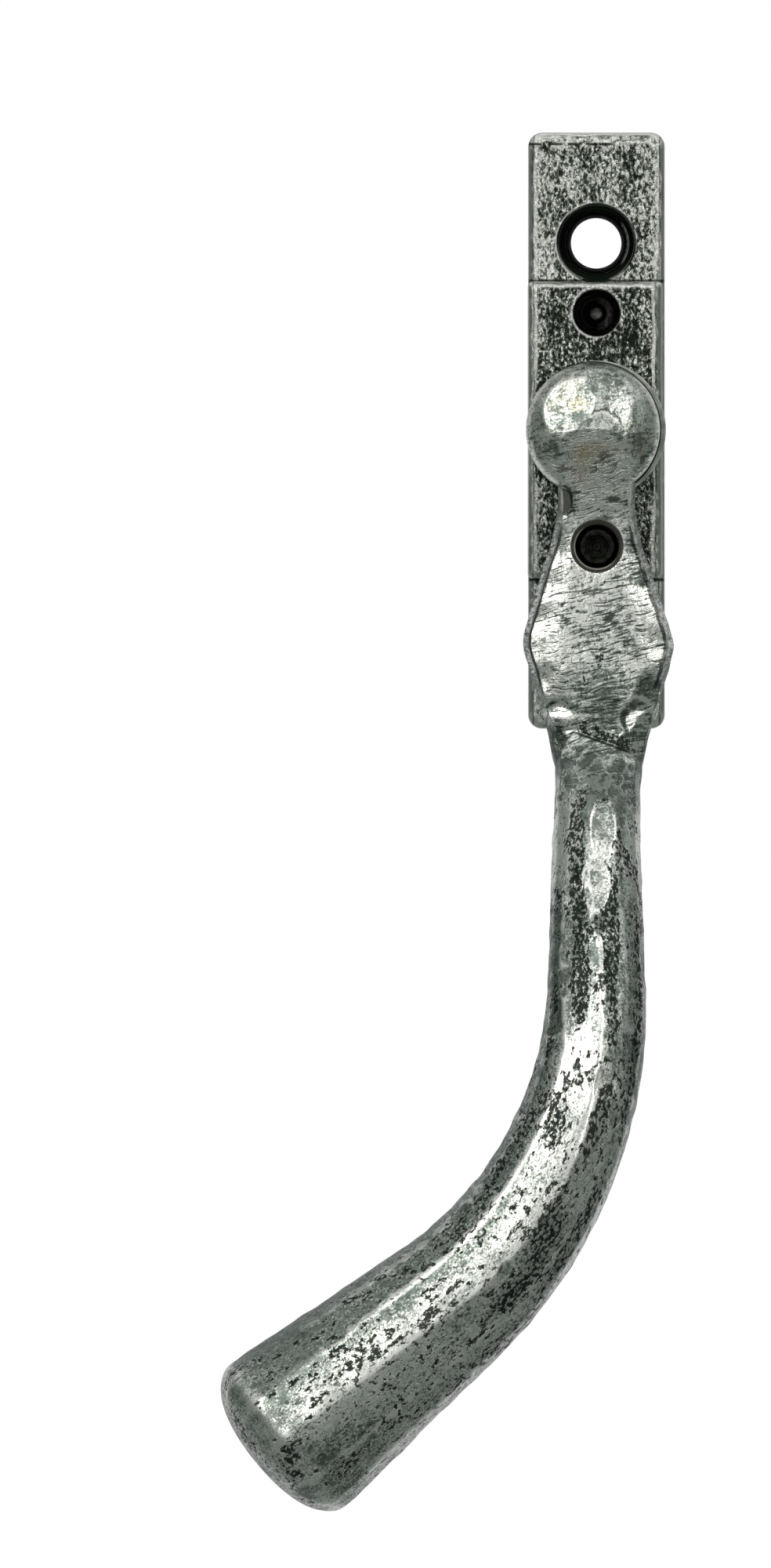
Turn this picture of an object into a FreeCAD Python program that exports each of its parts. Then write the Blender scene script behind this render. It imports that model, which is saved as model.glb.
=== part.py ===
import FreeCAD, Part
import math
import os
import re
import Sketcher

# Espagnolette window handle: a stepped base plate, and a forged lever that turns on it
# and winds a square spindle. Millimetres.
# Frame: +Z up, +X to the right as seen from the room, +Y into the window's stile.
# Origin: the pivot axis, in the plane of the plate's mounting face. The room is at -Y.
# The lever is drawn closed, hanging down, and opens by turning to the left, about +Y.

DIMENSIONS = [
    # Fits and clearances
    ("running_clearance", 0.05, "round a turning journal, on the radius"),
    ("sliding_clearance", 0.05, "round a square or flatted fit, each side"),
    ("loose_clearance", 0.3, "round a part that lies free in a recess"),
    ("collar_gap", 0.1, "between the stem's collar and the bush's flange"),
    # Base plate
    ("plate_cheek", 1.4, "metal left each side of the pivot bore at its full size"),
    ("tab_thickness", 5.0, "the thin ends that take the fixing screws"),
    ("block_thickness", 10.0, "the raised middle that carries the pivot"),
    ("plate_corner", 1.6, "radius of the plate's four corners"),
    ("edge_round", 0.8, "radius along the front edges"),
    ("fixing_centres", 43.0, "the standard spacing of the two fixing screws"),
    ("fixing_hole", 5.8, "diameter, clears an M5 screw"),
    ("fixing_sink", 9.0, "diameter of the countersink at the front"),
    ("fixing_sink_angle", 90.0, "included angle of the countersink"),
    ("tab_end_margin", 8.2, "from the countersink's edge to the plate's end"),
    ("lock_offset", 13.4, "from the pivot to the lock screw"),
    ("lock_hole", 5.4, "diameter of the blind hole that the lock screw enters"),
    ("lock_hole_depth", 5.0, "to the full diameter"),
    ("lock_hole_edge", 0.9, "metal between a lock hole and the block's end"),
    ("drill_point_angle", 118.0, "of the blind holes' bottoms"),
    # Pivot
    ("journal", 11.9, "diameter of the turned stem"),
    ("bush_wall", 0.45, "thickness of the bush's tube"),
    ("bush_flange", 15.2, "diameter"),
    ("bush_flange_thickness", 0.6, "along the axis"),
    ("collar", 15.86, "diameter of the stem's collar, seen below the head"),
    ("collar_thickness", 1.2, "along the axis"),
    ("spigot_length", 6.0, "the stem's front end, fixed in the head"),
    ("recess_step", 0.6, "how much wider the back recess is than the bore, on the radius"),
    ("recess_depth", 3.2, "of the back recess, which holds washers and clip"),
    ("spring_height", 0.9, "of the wave washer as fitted"),
    ("spring_thickness", 0.3, "of its strip"),
    ("spring_waves", 3, "number of crests"),
    ("stop_thickness", 0.6, "of the stop washer"),
    ("stop_tab_length", 1.2, "how far its tab stands past the round recess"),
    ("stop_tab_width", 2.4, "across the tab"),
    ("stop_play", 0.6, "degrees of free turn at each stop"),
    ("turn_range", 90.0, "degrees between closed and open"),
    ("clip_thickness", 1.0, "of the retaining clip"),
    ("clip_outside", 13.4, "diameter"),
    ("clip_opening", 5.0, "width of the gap in the clip"),
    ("clip_groove", 11.2, "diameter at the bottom of the clip's groove"),
    ("stem_flats", 10.6, "across the two flats that key the stop washer"),
    ("stem_end_gap", 0.3, "from the stem's end to the mounting face"),
    # Spindle
    ("spindle_side", 7.0, "across the flats of the square"),
    ("spindle_reach", 38.0, "past the mounting face"),
    ("spindle_inset", 0.6, "from the spindle's front end to the spigot's end"),
    ("spindle_chamfer", 0.8, "at the end that enters the gearbox"),
    ("pin_diameter", 2.0, "of the roll pin through stem and spindle"),
    ("pin_wall", 0.4, "of its rolled strip"),
    ("pin_slit", 0.5, "between the strip's edges"),
    # Head of the lever
    ("head_diameter", 15.36, "of the domed head"),
    ("head_shift", -0.45, "the forged head sits a little left of the axis"),
    ("head_rim", 5.2, "height of the head's side below the dome"),
    ("head_dome", 4.6, "height of the dome itself"),
    # Flat of the lever, a kite from the head to the arm
    ("kite_thickness", 6.5, "front to back"),
    ("kite_bevel", 0.8, "how far the filed bevels reach in from the outline"),
    ("neck_width", 8.8, "where the kite leaves the head"),
    ("neck_drop", 7.0, "from the pivot"),
    ("shoulder_width", 15.4, "where the sides begin to flare"),
    ("shoulder_drop", 20.5, "from the pivot"),
    ("kite_width", 17.4, "at the widest"),
    ("kite_drop", 24.7, "from the pivot to the widest place"),
    ("waist_width", 11.8, "where the arm begins to lift off the flat"),
    ("waist_drop", 35.2, "from the pivot"),
    ("kite_shift", 0.2, "its lower half was forged a little to the right"),
    # Arm of the lever, a ten-sided bar
    ("arm_drop", 38.5, "from the pivot to where the arm is fully formed"),
    ("arm_shift", -0.1, "the arm leaves the kite a little left of the axis"),
    ("arm_width", 10.0, "at its start"),
    ("tip_width", 22.2, "at its end, were it not rounded"),
    ("tip_power", 1.7, "how late the arm swells, 1 being evenly"),
    ("arm_depth_share", 0.84, "depth of the bar over its width"),
    ("arm_straight", 25.2, "length before the bend, seen from the front"),
    ("bend_radius", 47.0, "of the sideways bend"),
    ("bend_angle", 50.8, "degrees turned to the left"),
    ("tip_straight", 27.9, "length after the bend"),
    ("tip_dome", 5.6, "length over which the end rounds off"),
    ("tip_fullness", 2.2, "how square the rounded end is, 2 being an ellipse"),
    ("arm_rise", 16.0, "how far the arm stands out from the flat"),
    ("rise_length", 52.0, "length over which it does so"),
    # Lock screw in the lever
    ("screw_diameter", 5.0, "of the lever's threaded hole"),
    ("screw_length", 5.0, "overall"),
    ("screw_inset", 0.5, "from its point to the lever's underside, unlocked"),
    ("screw_cup", 2.6, "diameter of the cup in its point"),
    ("screw_cup_depth", 0.6, "of that cup"),
    ("screw_chamfer", 0.5, "at both ends"),
    ("socket_width", 2.5, "across the flats of the key socket"),
    ("socket_depth", 2.4, "of the key socket"),
    ("screw_mouth", 6.0, "diameter of the countersink at the hole's mouth"),
]

doc = FreeCAD.newDocument("EspagnoletteHandle")
sheet = doc.addObject("Spreadsheet::Sheet", "Dimensions")
for row, (alias, number, meaning) in enumerate(DIMENSIONS, start=1):
    sheet.set(f"A{row}", alias)
    sheet.set(f"B{row}", str(number))
    sheet.setAlias(f"B{row}", alias)
    sheet.set(f"C{row}", meaning)
doc.recompute()

# Places and sizes that follow from the driving dimensions. "front" and "back" are
# distances in front of the mounting face, so their y is negative.
DERIVED = {
    "bush_bore_radius": "(journal / 2 + running_clearance)",
    "plate_bore_radius": "(journal / 2 + running_clearance + bush_wall)",
    "plate_half_width": "(journal / 2 + running_clearance + bush_wall + plate_cheek)",
    "recess_radius": "(journal / 2 + running_clearance + bush_wall + recess_step)",
    "plate_half_length": "((fixing_centres + fixing_sink) / 2 + tab_end_margin)",
    "block_half_length": "(lock_offset + lock_hole / 2 + lock_hole_edge)",
    "bush_front": "(block_thickness + bush_flange_thickness)",
    "collar_back": "(block_thickness + bush_flange_thickness + collar_gap)",
    "head_back": "(block_thickness + bush_flange_thickness + collar_gap + collar_thickness)",
    "spring_back": "(recess_depth - spring_height)",
    "stop_back": "(recess_depth - spring_height - stop_thickness)",
    "clip_back": "(recess_depth - spring_height - stop_thickness - clip_thickness)",
}
WORDS = {alias: "Dimensions." + alias for alias, number, meaning in DIMENSIONS}


def expression(text):
    """Writes a text with short names as an expression that reads the sheet."""
    for name, meaning in DERIVED.items():
        text = re.sub(rf"\b{name}\b", meaning, text)
    return re.sub(r"\b[a-z_]+\b", lambda word: WORDS.get(word.group(), word.group()), text)


def size(text):
    """The number that a text with short names stands for."""
    answer = sheet.evalExpression(expression(text))
    return float(getattr(answer, "Value", answer))


def bind(item, field, text):
    item.setExpression(field, expression(text))


def new_body(name):
    body = doc.addObject("PartDesign::Body", name)
    body.Label = name
    return body


def new_sketch(body, plane, name, lift="0"):
    """A sketch on one of the body's origin planes, lifted along the plane's normal."""
    sketch = body.newObject("Sketcher::SketchObject", name)
    origin_plane = [item for item in body.Origin.OriginFeatures if item.Role == plane][0]
    sketch.AttachmentSupport = [(origin_plane, "")]
    sketch.MapMode = "FlatFace"
    bind(sketch, "AttachmentOffset.Base.z", lift)
    return sketch


def hold(sketch, kind, where, text):
    """A dimension of the sketch, bound to the sheet."""
    index = sketch.addConstraint(Sketcher.Constraint(kind, *where, size(text)))
    bind(sketch, f"Constraints[{index}]", text)


def polygon(body, plane, name, corners, lift="0"):
    """A closed outline whose corners are each held across and up from the origin."""
    sketch = new_sketch(body, plane, name, lift)
    points = [FreeCAD.Vector(size(across), size(up), 0) for across, up in corners]
    for i, start in enumerate(points):
        sketch.addGeometry(Part.LineSegment(start, points[(i + 1) % len(points)]))
    for i in range(len(points)):
        sketch.addConstraint(Sketcher.Constraint("Coincident", i, 2, (i + 1) % len(points), 1))
    for i, (across, up) in enumerate(corners):
        hold(sketch, "DistanceX", (-1, 1, i, 1), across)
        hold(sketch, "DistanceY", (-1, 1, i, 1), up)
    return sketch


def rectangle(body, plane, name, half_across, half_up, lift="0"):
    corners = [(f"-{half_across}", f"-{half_up}"), (half_across, f"-{half_up}"),
               (half_across, half_up), (f"-{half_across}", half_up)]
    return polygon(body, plane, name, corners, lift)


def circles(body, plane, name, rings, lift="0"):
    """Full circles, each given as across, up and radius."""
    sketch = new_sketch(body, plane, name, lift)
    normal = FreeCAD.Vector(0, 0, 1)
    for i, (across, up, radius) in enumerate(rings):
        centre = FreeCAD.Vector(size(across), size(up), 0)
        sketch.addGeometry(Part.Circle(centre, normal, size(radius)))
        hold(sketch, "DistanceX", (-1, 1, i, 3), across)
        hold(sketch, "DistanceY", (-1, 1, i, 3), up)
        hold(sketch, "Radius", (i,), radius)
    return sketch


def pad(body, sketch, length, towards_back=False, both_ways=False):
    """Adds metal. A sketch on XZ_Plane grows towards the room unless towards_back."""
    feature = body.newObject("PartDesign::Pad", sketch.Name + "_pad")
    feature.Profile = sketch
    feature.Reversed = towards_back
    feature.SideType = "Symmetric" if both_ways else "One side"
    bind(feature, "Length", length)
    doc.recompute()
    return feature


def pocket(body, sketch, depth=None, towards_room=False):
    """Takes metal away, to a depth or right through both ways, and checks that it did."""
    before = body.Shape.Volume
    feature = body.newObject("PartDesign::Pocket", sketch.Name + "_cut")
    feature.Profile = sketch
    feature.Reversed = towards_room
    if depth is None:
        feature.SideType = "Symmetric"
        feature.Type = "ThroughAll"
    else:
        bind(feature, "Length", depth)
    doc.recompute()
    if not body.Shape.Volume < before - 1e-6:
        raise RuntimeError(f"{feature.Name} cuts nothing")
    return feature


def turn(body, name, profile):
    """A lathe-turned piece about the pivot axis: corners as radius and y."""
    sketch = polygon(body, "XY_Plane", name, profile)
    feature = body.newObject("PartDesign::Revolution", name + "_turning")
    feature.Profile = sketch
    feature.ReferenceAxis = (sketch, ["V_Axis"])
    feature.Angle = 360
    doc.recompute()
    return feature


def edges_where(shape, test):
    """Names of the edges whose two ends and middle all pass the test."""
    names = []
    for i, edge in enumerate(shape.Edges, start=1):
        middle = edge.valueAt((edge.FirstParameter + edge.LastParameter) / 2)
        points = [vertex.Point for vertex in edge.Vertexes] + [middle]
        if all(test(point) for point in points):
            names.append(f"Edge{i}")
    return names


def rounded(body, name, radius, test):
    """A fillet along the edges that pass the test."""
    base = body.Tip
    feature = body.newObject("PartDesign::Fillet", name)
    feature.Base = (base, edges_where(base.Shape, test))
    bind(feature, "Radius", radius)
    doc.recompute()


def chamfered(body, name, width, test):
    """A chamfer along the edges that pass the test."""
    base = body.Tip
    feature = body.newObject("PartDesign::Chamfer", name)
    feature.Base = (base, edges_where(base.Shape, test))
    bind(feature, "Size", width)
    doc.recompute()


def near(a, b):
    return abs(a - b) < 1e-4


def make_base_plate():
    """A casting: two thin screw tabs and a raised block, bored for the pivot."""
    body = new_body("base_plate")
    plate = rectangle(body, "XZ_Plane", "plate_outline", "plate_half_width", "plate_half_length")
    pad(body, plate, "tab_thickness")
    half_width, half_length = size("plate_half_width"), size("plate_half_length")
    rounded(body, "plate_corners", "plate_corner",
            lambda p: near(abs(p.x), half_width) and near(abs(p.z), half_length))
    block = rectangle(body, "XZ_Plane", "block_outline", "plate_half_width", "block_half_length")
    pad(body, block, "block_thickness")
    tab_front, block_front = -size("tab_thickness"), -size("block_thickness")
    step = size("block_half_length")
    rounded(body, "front_edges", "edge_round",
            lambda p: near(p.y, block_front)
            or (near(p.y, tab_front) and abs(p.z) >= step - 1e-4
                and (abs(p.x) > half_width - size("plate_corner") - 1e-4 or near(abs(p.z), half_length))))
    add_fixing_holes(body)
    add_lock_holes(body)
    bore = circles(body, "XZ_Plane", "pivot_bore", [("0", "0", "plate_bore_radius")])
    pocket(body, bore)
    recess = circles(body, "XZ_Plane", "back_recess", [("0", "0", "recess_radius")])
    pocket(body, recess, "recess_depth", towards_room=True)
    add_stop_pocket(body)
    return body


def add_fixing_holes(body):
    """Two countersunk through holes, one in each tab."""
    spots = circles(body, "XZ_Plane", "fixing_spots",
                    [("0", "fixing_centres / 2", "fixing_hole / 2"),
                     ("0", "-fixing_centres / 2", "fixing_hole / 2")], "tab_thickness")
    before = body.Shape.Volume
    hole = body.newObject("PartDesign::Hole", "fixing_holes")
    hole.Profile = spots
    doc.recompute()
    hole.ThreadType = "None"
    hole.DepthType = "ThroughAll"
    hole.HoleCutType = "Countersink"
    hole.HoleCutCustomValues = True
    bind(hole, "Diameter", "fixing_hole")
    bind(hole, "HoleCutDiameter", "fixing_sink")
    bind(hole, "HoleCutCountersinkAngle", "fixing_sink_angle")
    doc.recompute()
    if not body.Shape.Volume < before:
        raise RuntimeError("the fixing holes cut nothing")


def add_lock_holes(body):
    """Two blind drilled holes in the block, so that the plate fits either way up."""
    spots = circles(body, "XZ_Plane", "lock_spots",
                    [("0", "lock_offset", "lock_hole / 2"),
                     ("0", "-lock_offset", "lock_hole / 2")], "block_thickness")
    before = body.Shape.Volume
    hole = body.newObject("PartDesign::Hole", "lock_holes")
    hole.Profile = spots
    doc.recompute()
    hole.ThreadType = "None"
    hole.DepthType = "Dimension"
    hole.DrillPoint = "Angled"
    bind(hole, "Diameter", "lock_hole")
    bind(hole, "Depth", "lock_hole_depth")
    bind(hole, "DrillPointAngle", "drill_point_angle")
    doc.recompute()
    if not body.Shape.Volume < before:
        raise RuntimeError("the lock holes cut nothing")


def add_stop_pocket(body):
    """A fan above the axis, in which the stop washer's tab swings from wall to wall."""
    half_fan = "(turn_range / 2 + stop_play + asin(stop_tab_width / 2 / recess_radius) / 1 deg)"
    reach = "(recess_radius + stop_tab_length + loose_clearance)"
    sketch = new_sketch(body, "XZ_Plane", "stop_fan")
    half, radius = math.radians(size(half_fan)), size(reach)
    centre = FreeCAD.Vector(0, 0, 0)
    right = FreeCAD.Vector(radius * math.sin(half), radius * math.cos(half), 0)
    left = FreeCAD.Vector(-right.x, right.y, 0)
    circle = Part.Circle(centre, FreeCAD.Vector(0, 0, 1), radius)
    sketch.addGeometry(Part.LineSegment(centre, right))
    sketch.addGeometry(Part.ArcOfCircle(circle, math.pi / 2 - half, math.pi / 2 + half))
    sketch.addGeometry(Part.LineSegment(centre, left))
    sketch.addConstraint(Sketcher.Constraint("Coincident", 0, 1, -1, 1))
    sketch.addConstraint(Sketcher.Constraint("Coincident", 2, 1, -1, 1))
    sketch.addConstraint(Sketcher.Constraint("Coincident", 1, 3, -1, 1))
    sketch.addConstraint(Sketcher.Constraint("Coincident", 0, 2, 1, 1))
    sketch.addConstraint(Sketcher.Constraint("Coincident", 2, 2, 1, 2))
    hold(sketch, "Radius", (1,), reach)
    hold(sketch, "DistanceX", (-1, 1, 0, 2), f"{reach} * sin({half_fan} * 1 deg)")
    hold(sketch, "DistanceX", (-1, 1, 2, 2), f"-{reach} * sin({half_fan} * 1 deg)")
    pocket(body, sketch, "recess_depth", towards_room=True)


def make_pivot_bush():
    """A flanged bush pressed into the block: the stem's bearing and thrust face."""
    body = new_body("pivot_bush")
    turn(body, "bush_profile", [
        ("bush_bore_radius", "-recess_depth"),
        ("plate_bore_radius", "-recess_depth"),
        ("plate_bore_radius", "-block_thickness"),
        ("bush_flange / 2", "-block_thickness"),
        ("bush_flange / 2", "-bush_front"),
        ("bush_bore_radius", "-bush_front"),
    ])
    return body


def make_pivot_stem():
    """Turned steel: spigot for the head, collar, journal, clip groove and two flats."""
    body = new_body("pivot_stem")
    turn(body, "stem_profile", [
        ("0", "-stem_end_gap"),
        ("journal / 2", "-stem_end_gap"),
        ("journal / 2", "-clip_back"),
        ("clip_groove / 2", "-clip_back"),
        ("clip_groove / 2", "-stop_back"),
        ("journal / 2", "-stop_back"),
        ("journal / 2", "-collar_back"),
        ("collar / 2", "-collar_back"),
        ("collar / 2", "-head_back"),
        ("journal / 2", "-head_back"),
        ("journal / 2", "-head_back - spigot_length"),
        ("0", "-head_back - spigot_length"),
    ])
    flat, outside, flat_depth = "stem_flats / 2", "journal", "spring_back"
    for side, name in (("-", "left_flat"), ("", "right_flat")):
        sketch = polygon(body, "XZ_Plane", name, [
            (side + flat, "-" + outside), (side + outside, "-" + outside),
            (side + outside, outside), (side + flat, outside)])
        pocket(body, sketch, flat_depth, towards_room=True)
    half_side = "(spindle_side / 2 + sliding_clearance)"
    socket = rectangle(body, "XZ_Plane", "spindle_socket", half_side, half_side)
    pocket(body, socket)
    pin = circles(body, "YZ_Plane", "pin_drilling", [("-head_back - spigot_length / 2", "0", "pin_diameter / 2")])
    pocket(body, pin)
    return body


def make_spindle():
    """The square bar that winds the espagnolette's gearbox."""
    body = new_body("spindle")
    front = "(head_back + spigot_length - spindle_inset)"
    outline = rectangle(body, "XZ_Plane", "spindle_outline", "spindle_side / 2", "spindle_side / 2", front)
    pad(body, outline, f"{front} + spindle_reach", towards_back=True)
    pin = circles(body, "YZ_Plane", "spindle_pin_drilling",
                  [("-head_back - spigot_length / 2", "0", "pin_diameter / 2")])
    pocket(body, pin)
    reach = size("spindle_reach")
    chamfered(body, "spindle_end", "spindle_chamfer", lambda p: near(p.y, reach))
    return body


def make_spindle_pin():
    """A roll pin that holds the spindle in the stem, hidden inside the head."""
    body = new_body("spindle_pin")
    centre = "-head_back - spigot_length / 2"
    ring = circles(body, "YZ_Plane", "pin_ring",
                   [(centre, "0", "pin_diameter / 2"), (centre, "0", "pin_diameter / 2 - pin_wall")])
    pad(body, ring, "journal - 2 * spindle_inset", both_ways=True)
    slit = polygon(body, "YZ_Plane", "pin_slit_outline", [
        (f"{centre} - pin_slit / 2", "0"), (f"{centre} + pin_slit / 2", "0"),
        (f"{centre} + pin_slit / 2", "pin_diameter"), (f"{centre} - pin_slit / 2", "pin_diameter")])
    pocket(body, slit)
    return body


def make_wave_washer():
    """A sprung ring of flat strip that takes up the play and makes the lever stay put."""
    inner = size("bush_bore_radius") + size("running_clearance")
    outer = size("recess_radius") - size("loose_clearance")
    thickness, height, waves = size("spring_thickness"), size("spring_height"), size("spring_waves")
    middle = -size("recess_depth") + height / 2
    stations_per_wave = 12
    count = round(waves) * stations_per_wave
    sections = []
    for i in range(count):
        turn_angle = 2 * math.pi * i / count
        lift = middle + (height - thickness) / 2 * math.cos(waves * turn_angle)
        corners = []
        for radius, y in ((inner, lift - thickness / 2), (outer, lift - thickness / 2),
                          (outer, lift + thickness / 2), (inner, lift + thickness / 2)):
            corners.append(FreeCAD.Vector(radius * math.cos(turn_angle), y, radius * math.sin(turn_angle)))
        sections.append(Part.makePolygon(corners + corners[:1]))
    washer = doc.addObject("Part::Feature", "wave_washer")
    washer.Label = "wave_washer"
    washer.Shape = Part.makeLoft(sections, True, True, True)
    return washer


def make_stop_washer():
    """A washer keyed on the stem's flats, whose tab meets the fan's two walls."""
    body = new_body("stop_washer")
    disc = circles(body, "XZ_Plane", "stop_disc", [("0", "0", "recess_radius - loose_clearance")], "stop_back")
    pad(body, disc, "stop_thickness")
    tab_angle = "(-turn_range / 2 * 1 deg)"
    corners = []
    for across, up in (("-stop_tab_width / 2", "0"), ("stop_tab_width / 2", "0"),
                       ("stop_tab_width / 2", "(recess_radius + stop_tab_length)"),
                       ("-stop_tab_width / 2", "(recess_radius + stop_tab_length)")):
        corners.append((f"{across} * cos{tab_angle} + {up} * sin{tab_angle}",
                        f"{up} * cos{tab_angle} - {across} * sin{tab_angle}"))
    pad(body, polygon(body, "XZ_Plane", "stop_tab", corners, "stop_back"), "stop_thickness")
    keyed_hole(body)
    return body


def keyed_hole(body):
    """A round hole with two flats, which fits over the stem's end."""
    radius = "(journal / 2 + sliding_clearance)"
    flat = "(stem_flats / 2 + sliding_clearance)"
    sketch = new_sketch(body, "XZ_Plane", "keyed_hole", "stop_back")
    big, small = size(radius), size(flat)
    rise = math.sqrt(big ** 2 - small ** 2)
    start = math.atan2(rise, small)
    circle = Part.Circle(FreeCAD.Vector(0, 0, 0), FreeCAD.Vector(0, 0, 1), big)
    sketch.addGeometry(Part.LineSegment(FreeCAD.Vector(small, -rise, 0), FreeCAD.Vector(small, rise, 0)))
    sketch.addGeometry(Part.ArcOfCircle(circle, start, math.pi - start))
    sketch.addGeometry(Part.LineSegment(FreeCAD.Vector(-small, rise, 0), FreeCAD.Vector(-small, -rise, 0)))
    sketch.addGeometry(Part.ArcOfCircle(circle, math.pi + start, 2 * math.pi - start))
    for i in range(4):
        sketch.addConstraint(Sketcher.Constraint("Coincident", i, 2, (i + 1) % 4, 1))
    for i in (1, 3):
        sketch.addConstraint(Sketcher.Constraint("Coincident", i, 3, -1, 1))
        hold(sketch, "Radius", (i,), radius)
    for i, side in ((0, ""), (2, "-")):
        sketch.addConstraint(Sketcher.Constraint("Vertical", i))
        hold(sketch, "DistanceX", (-1, 1, i, 1), side + flat)
    pocket(body, sketch)


def make_retaining_clip():
    """An open spring clip in the stem's groove, which keeps the stem in the plate."""
    body = new_body("retaining_clip")
    ring = circles(body, "XZ_Plane", "clip_ring",
                   [("0", "0", "clip_outside / 2"), ("0", "0", "clip_groove / 2")], "clip_back")
    pad(body, ring, "clip_thickness")
    gap = polygon(body, "XZ_Plane", "clip_gap", [
        ("-clip_opening / 2", "0"), ("clip_opening / 2", "0"),
        ("clip_opening / 2", "-clip_outside"), ("-clip_opening / 2", "-clip_outside")])
    pocket(body, gap)
    return body


def make_lock_screw():
    """A socket set screw with a cup point, drawn backed off inside the lever."""
    body = new_body("lock_screw")
    point = "(head_back + screw_inset)"
    head = "(head_back + screw_inset + screw_length)"
    radius = "(screw_diameter / 2 - running_clearance)"
    turn(body, "screw_profile", [
        ("0", f"-{point} - screw_cup_depth"),
        ("screw_cup / 2", f"-{point}"),
        (f"{radius} - screw_chamfer", f"-{point}"),
        (radius, f"-{point} - screw_chamfer"),
        (radius, f"-{head} + screw_chamfer"),
        (f"{radius} - screw_chamfer", f"-{head}"),
        ("0", f"-{head}"),
    ])
    corners = []
    for i in range(6):
        corners.append((f"socket_width / sqrt(3) * cos({60 * i} deg)",
                        f"socket_width / sqrt(3) * sin({60 * i} deg)"))
    pocket(body, polygon(body, "XZ_Plane", "key_socket", corners, head), "socket_depth")
    body.Placement.Base.z = -size("lock_offset")
    bind(body, "Placement.Base.z", "-lock_offset")
    return body


def bar_section(centre, across, front, half_width, half_depth, bevel, roundness):
    """One ten-sided section of the lever, from a bevelled flat bar to a rounded bar."""
    flat_corners = [(0.45, 1.0), (1 - bevel / half_width, 1.0), (1.0, 0.0)]
    round_corners = [(math.sin(math.radians(18)), 1.0),
                     (math.sin(math.radians(54)), math.cos(math.radians(54)) / math.cos(math.radians(18))),
                     (1.0, 0.0)]
    quarter = []
    for (flat_x, flat_y), (round_x, round_y) in zip(flat_corners, round_corners):
        quarter.append((flat_x + roundness * (round_x - flat_x), flat_y + roundness * (round_y - flat_y)))
    inner, outer, side = quarter
    half = [inner, outer, side, (outer[0], -outer[1]), (inner[0], -inner[1])]
    outline = half + [(-x, y) for x, y in reversed(half)]
    points = [centre + across * (half_width * x) + front * (half_depth * y) for x, y in outline]
    return Part.makePolygon(points + points[:1])


def arm_place(run):
    """Centre and heading of the arm, run millimetres past its start, seen from the front."""
    radius, full_turn = size("bend_radius"), math.radians(size("bend_angle"))
    straight = size("arm_straight")
    bent = min(max(run - straight, 0.0), radius * full_turn)
    beyond = max(run - straight - radius * full_turn, 0.0)
    heading = bent / radius
    x = size("arm_shift") - radius * (1 - math.cos(heading)) - beyond * math.sin(heading)
    z = -size("arm_drop") - min(run, straight) - radius * math.sin(heading) - beyond * math.cos(heading)
    return x, z, heading


def forged_bar_sections():
    """Sections of kite and arm, from inside the head to the tip."""
    right, room = FreeCAD.Vector(1, 0, 0), FreeCAD.Vector(0, -1, 0)
    half_thickness = size("kite_thickness") / 2
    flat_y = -size("head_back") - half_thickness
    sections = []
    inside_head = size("neck_drop") / 2
    shift = size("kite_shift")
    for x, drop, width in ((0, inside_head, "neck_width"), (0, size("neck_drop"), "neck_width"),
                           (0, size("shoulder_drop"), "shoulder_width"),
                           (shift, size("kite_drop"), "kite_width"),
                           (shift, size("waist_drop"), "waist_width")):
        centre = FreeCAD.Vector(x, flat_y, -drop)
        sections.append(bar_section(centre, right, room, size(width) / 2, half_thickness,
                                    size("kite_bevel"), 0.0))
    lead = size("arm_drop") - size("waist_drop")
    total = size("arm_straight") + size("bend_radius") * math.radians(size("bend_angle")) + size("tip_straight")
    dome = size("tip_dome")
    body_steps, dome_steps, last_angle = 14, 5, math.radians(80)
    runs = [(total - dome) * i / body_steps for i in range(body_steps + 1)]
    fills = [1.0] * len(runs)
    for i in range(1, dome_steps + 1):
        angle = last_angle * i / dome_steps
        runs.append(total - dome + dome * math.sin(angle) ** (2 / size("tip_fullness")))
        fills.append(math.cos(angle) ** (2 / size("tip_fullness")))
    for run, fill in zip(runs, fills):
        x, z, heading = arm_place(run)
        lift = min((run + lead) / size("rise_length"), 1.0)
        y = flat_y - size("arm_rise") * math.sin(math.pi / 2 * lift)
        slope = 0.0
        if lift < 1.0:
            slope = math.pi / 2 * size("arm_rise") / size("rise_length") * math.cos(math.pi / 2 * lift)
        down = FreeCAD.Vector(-math.sin(heading), 0, -math.cos(heading))
        across = FreeCAD.Vector(math.cos(heading), 0, -math.sin(heading))
        along = (down + room * slope).normalize()
        front = along.cross(across).normalize()
        if front.dot(room) < 0:
            front = -front
        share = (run / total) ** size("tip_power")
        half_width = fill * (size("arm_width") + (size("tip_width") - size("arm_width")) * share) / 2
        half_depth = half_width * size("arm_depth_share")
        roundness = min(run / size("arm_straight") * 2 + 0.35, 1.0)
        sections.append(bar_section(FreeCAD.Vector(x, y, z), across, front, half_width, half_depth,
                                    size("kite_bevel"), roundness))
    return sections


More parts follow.
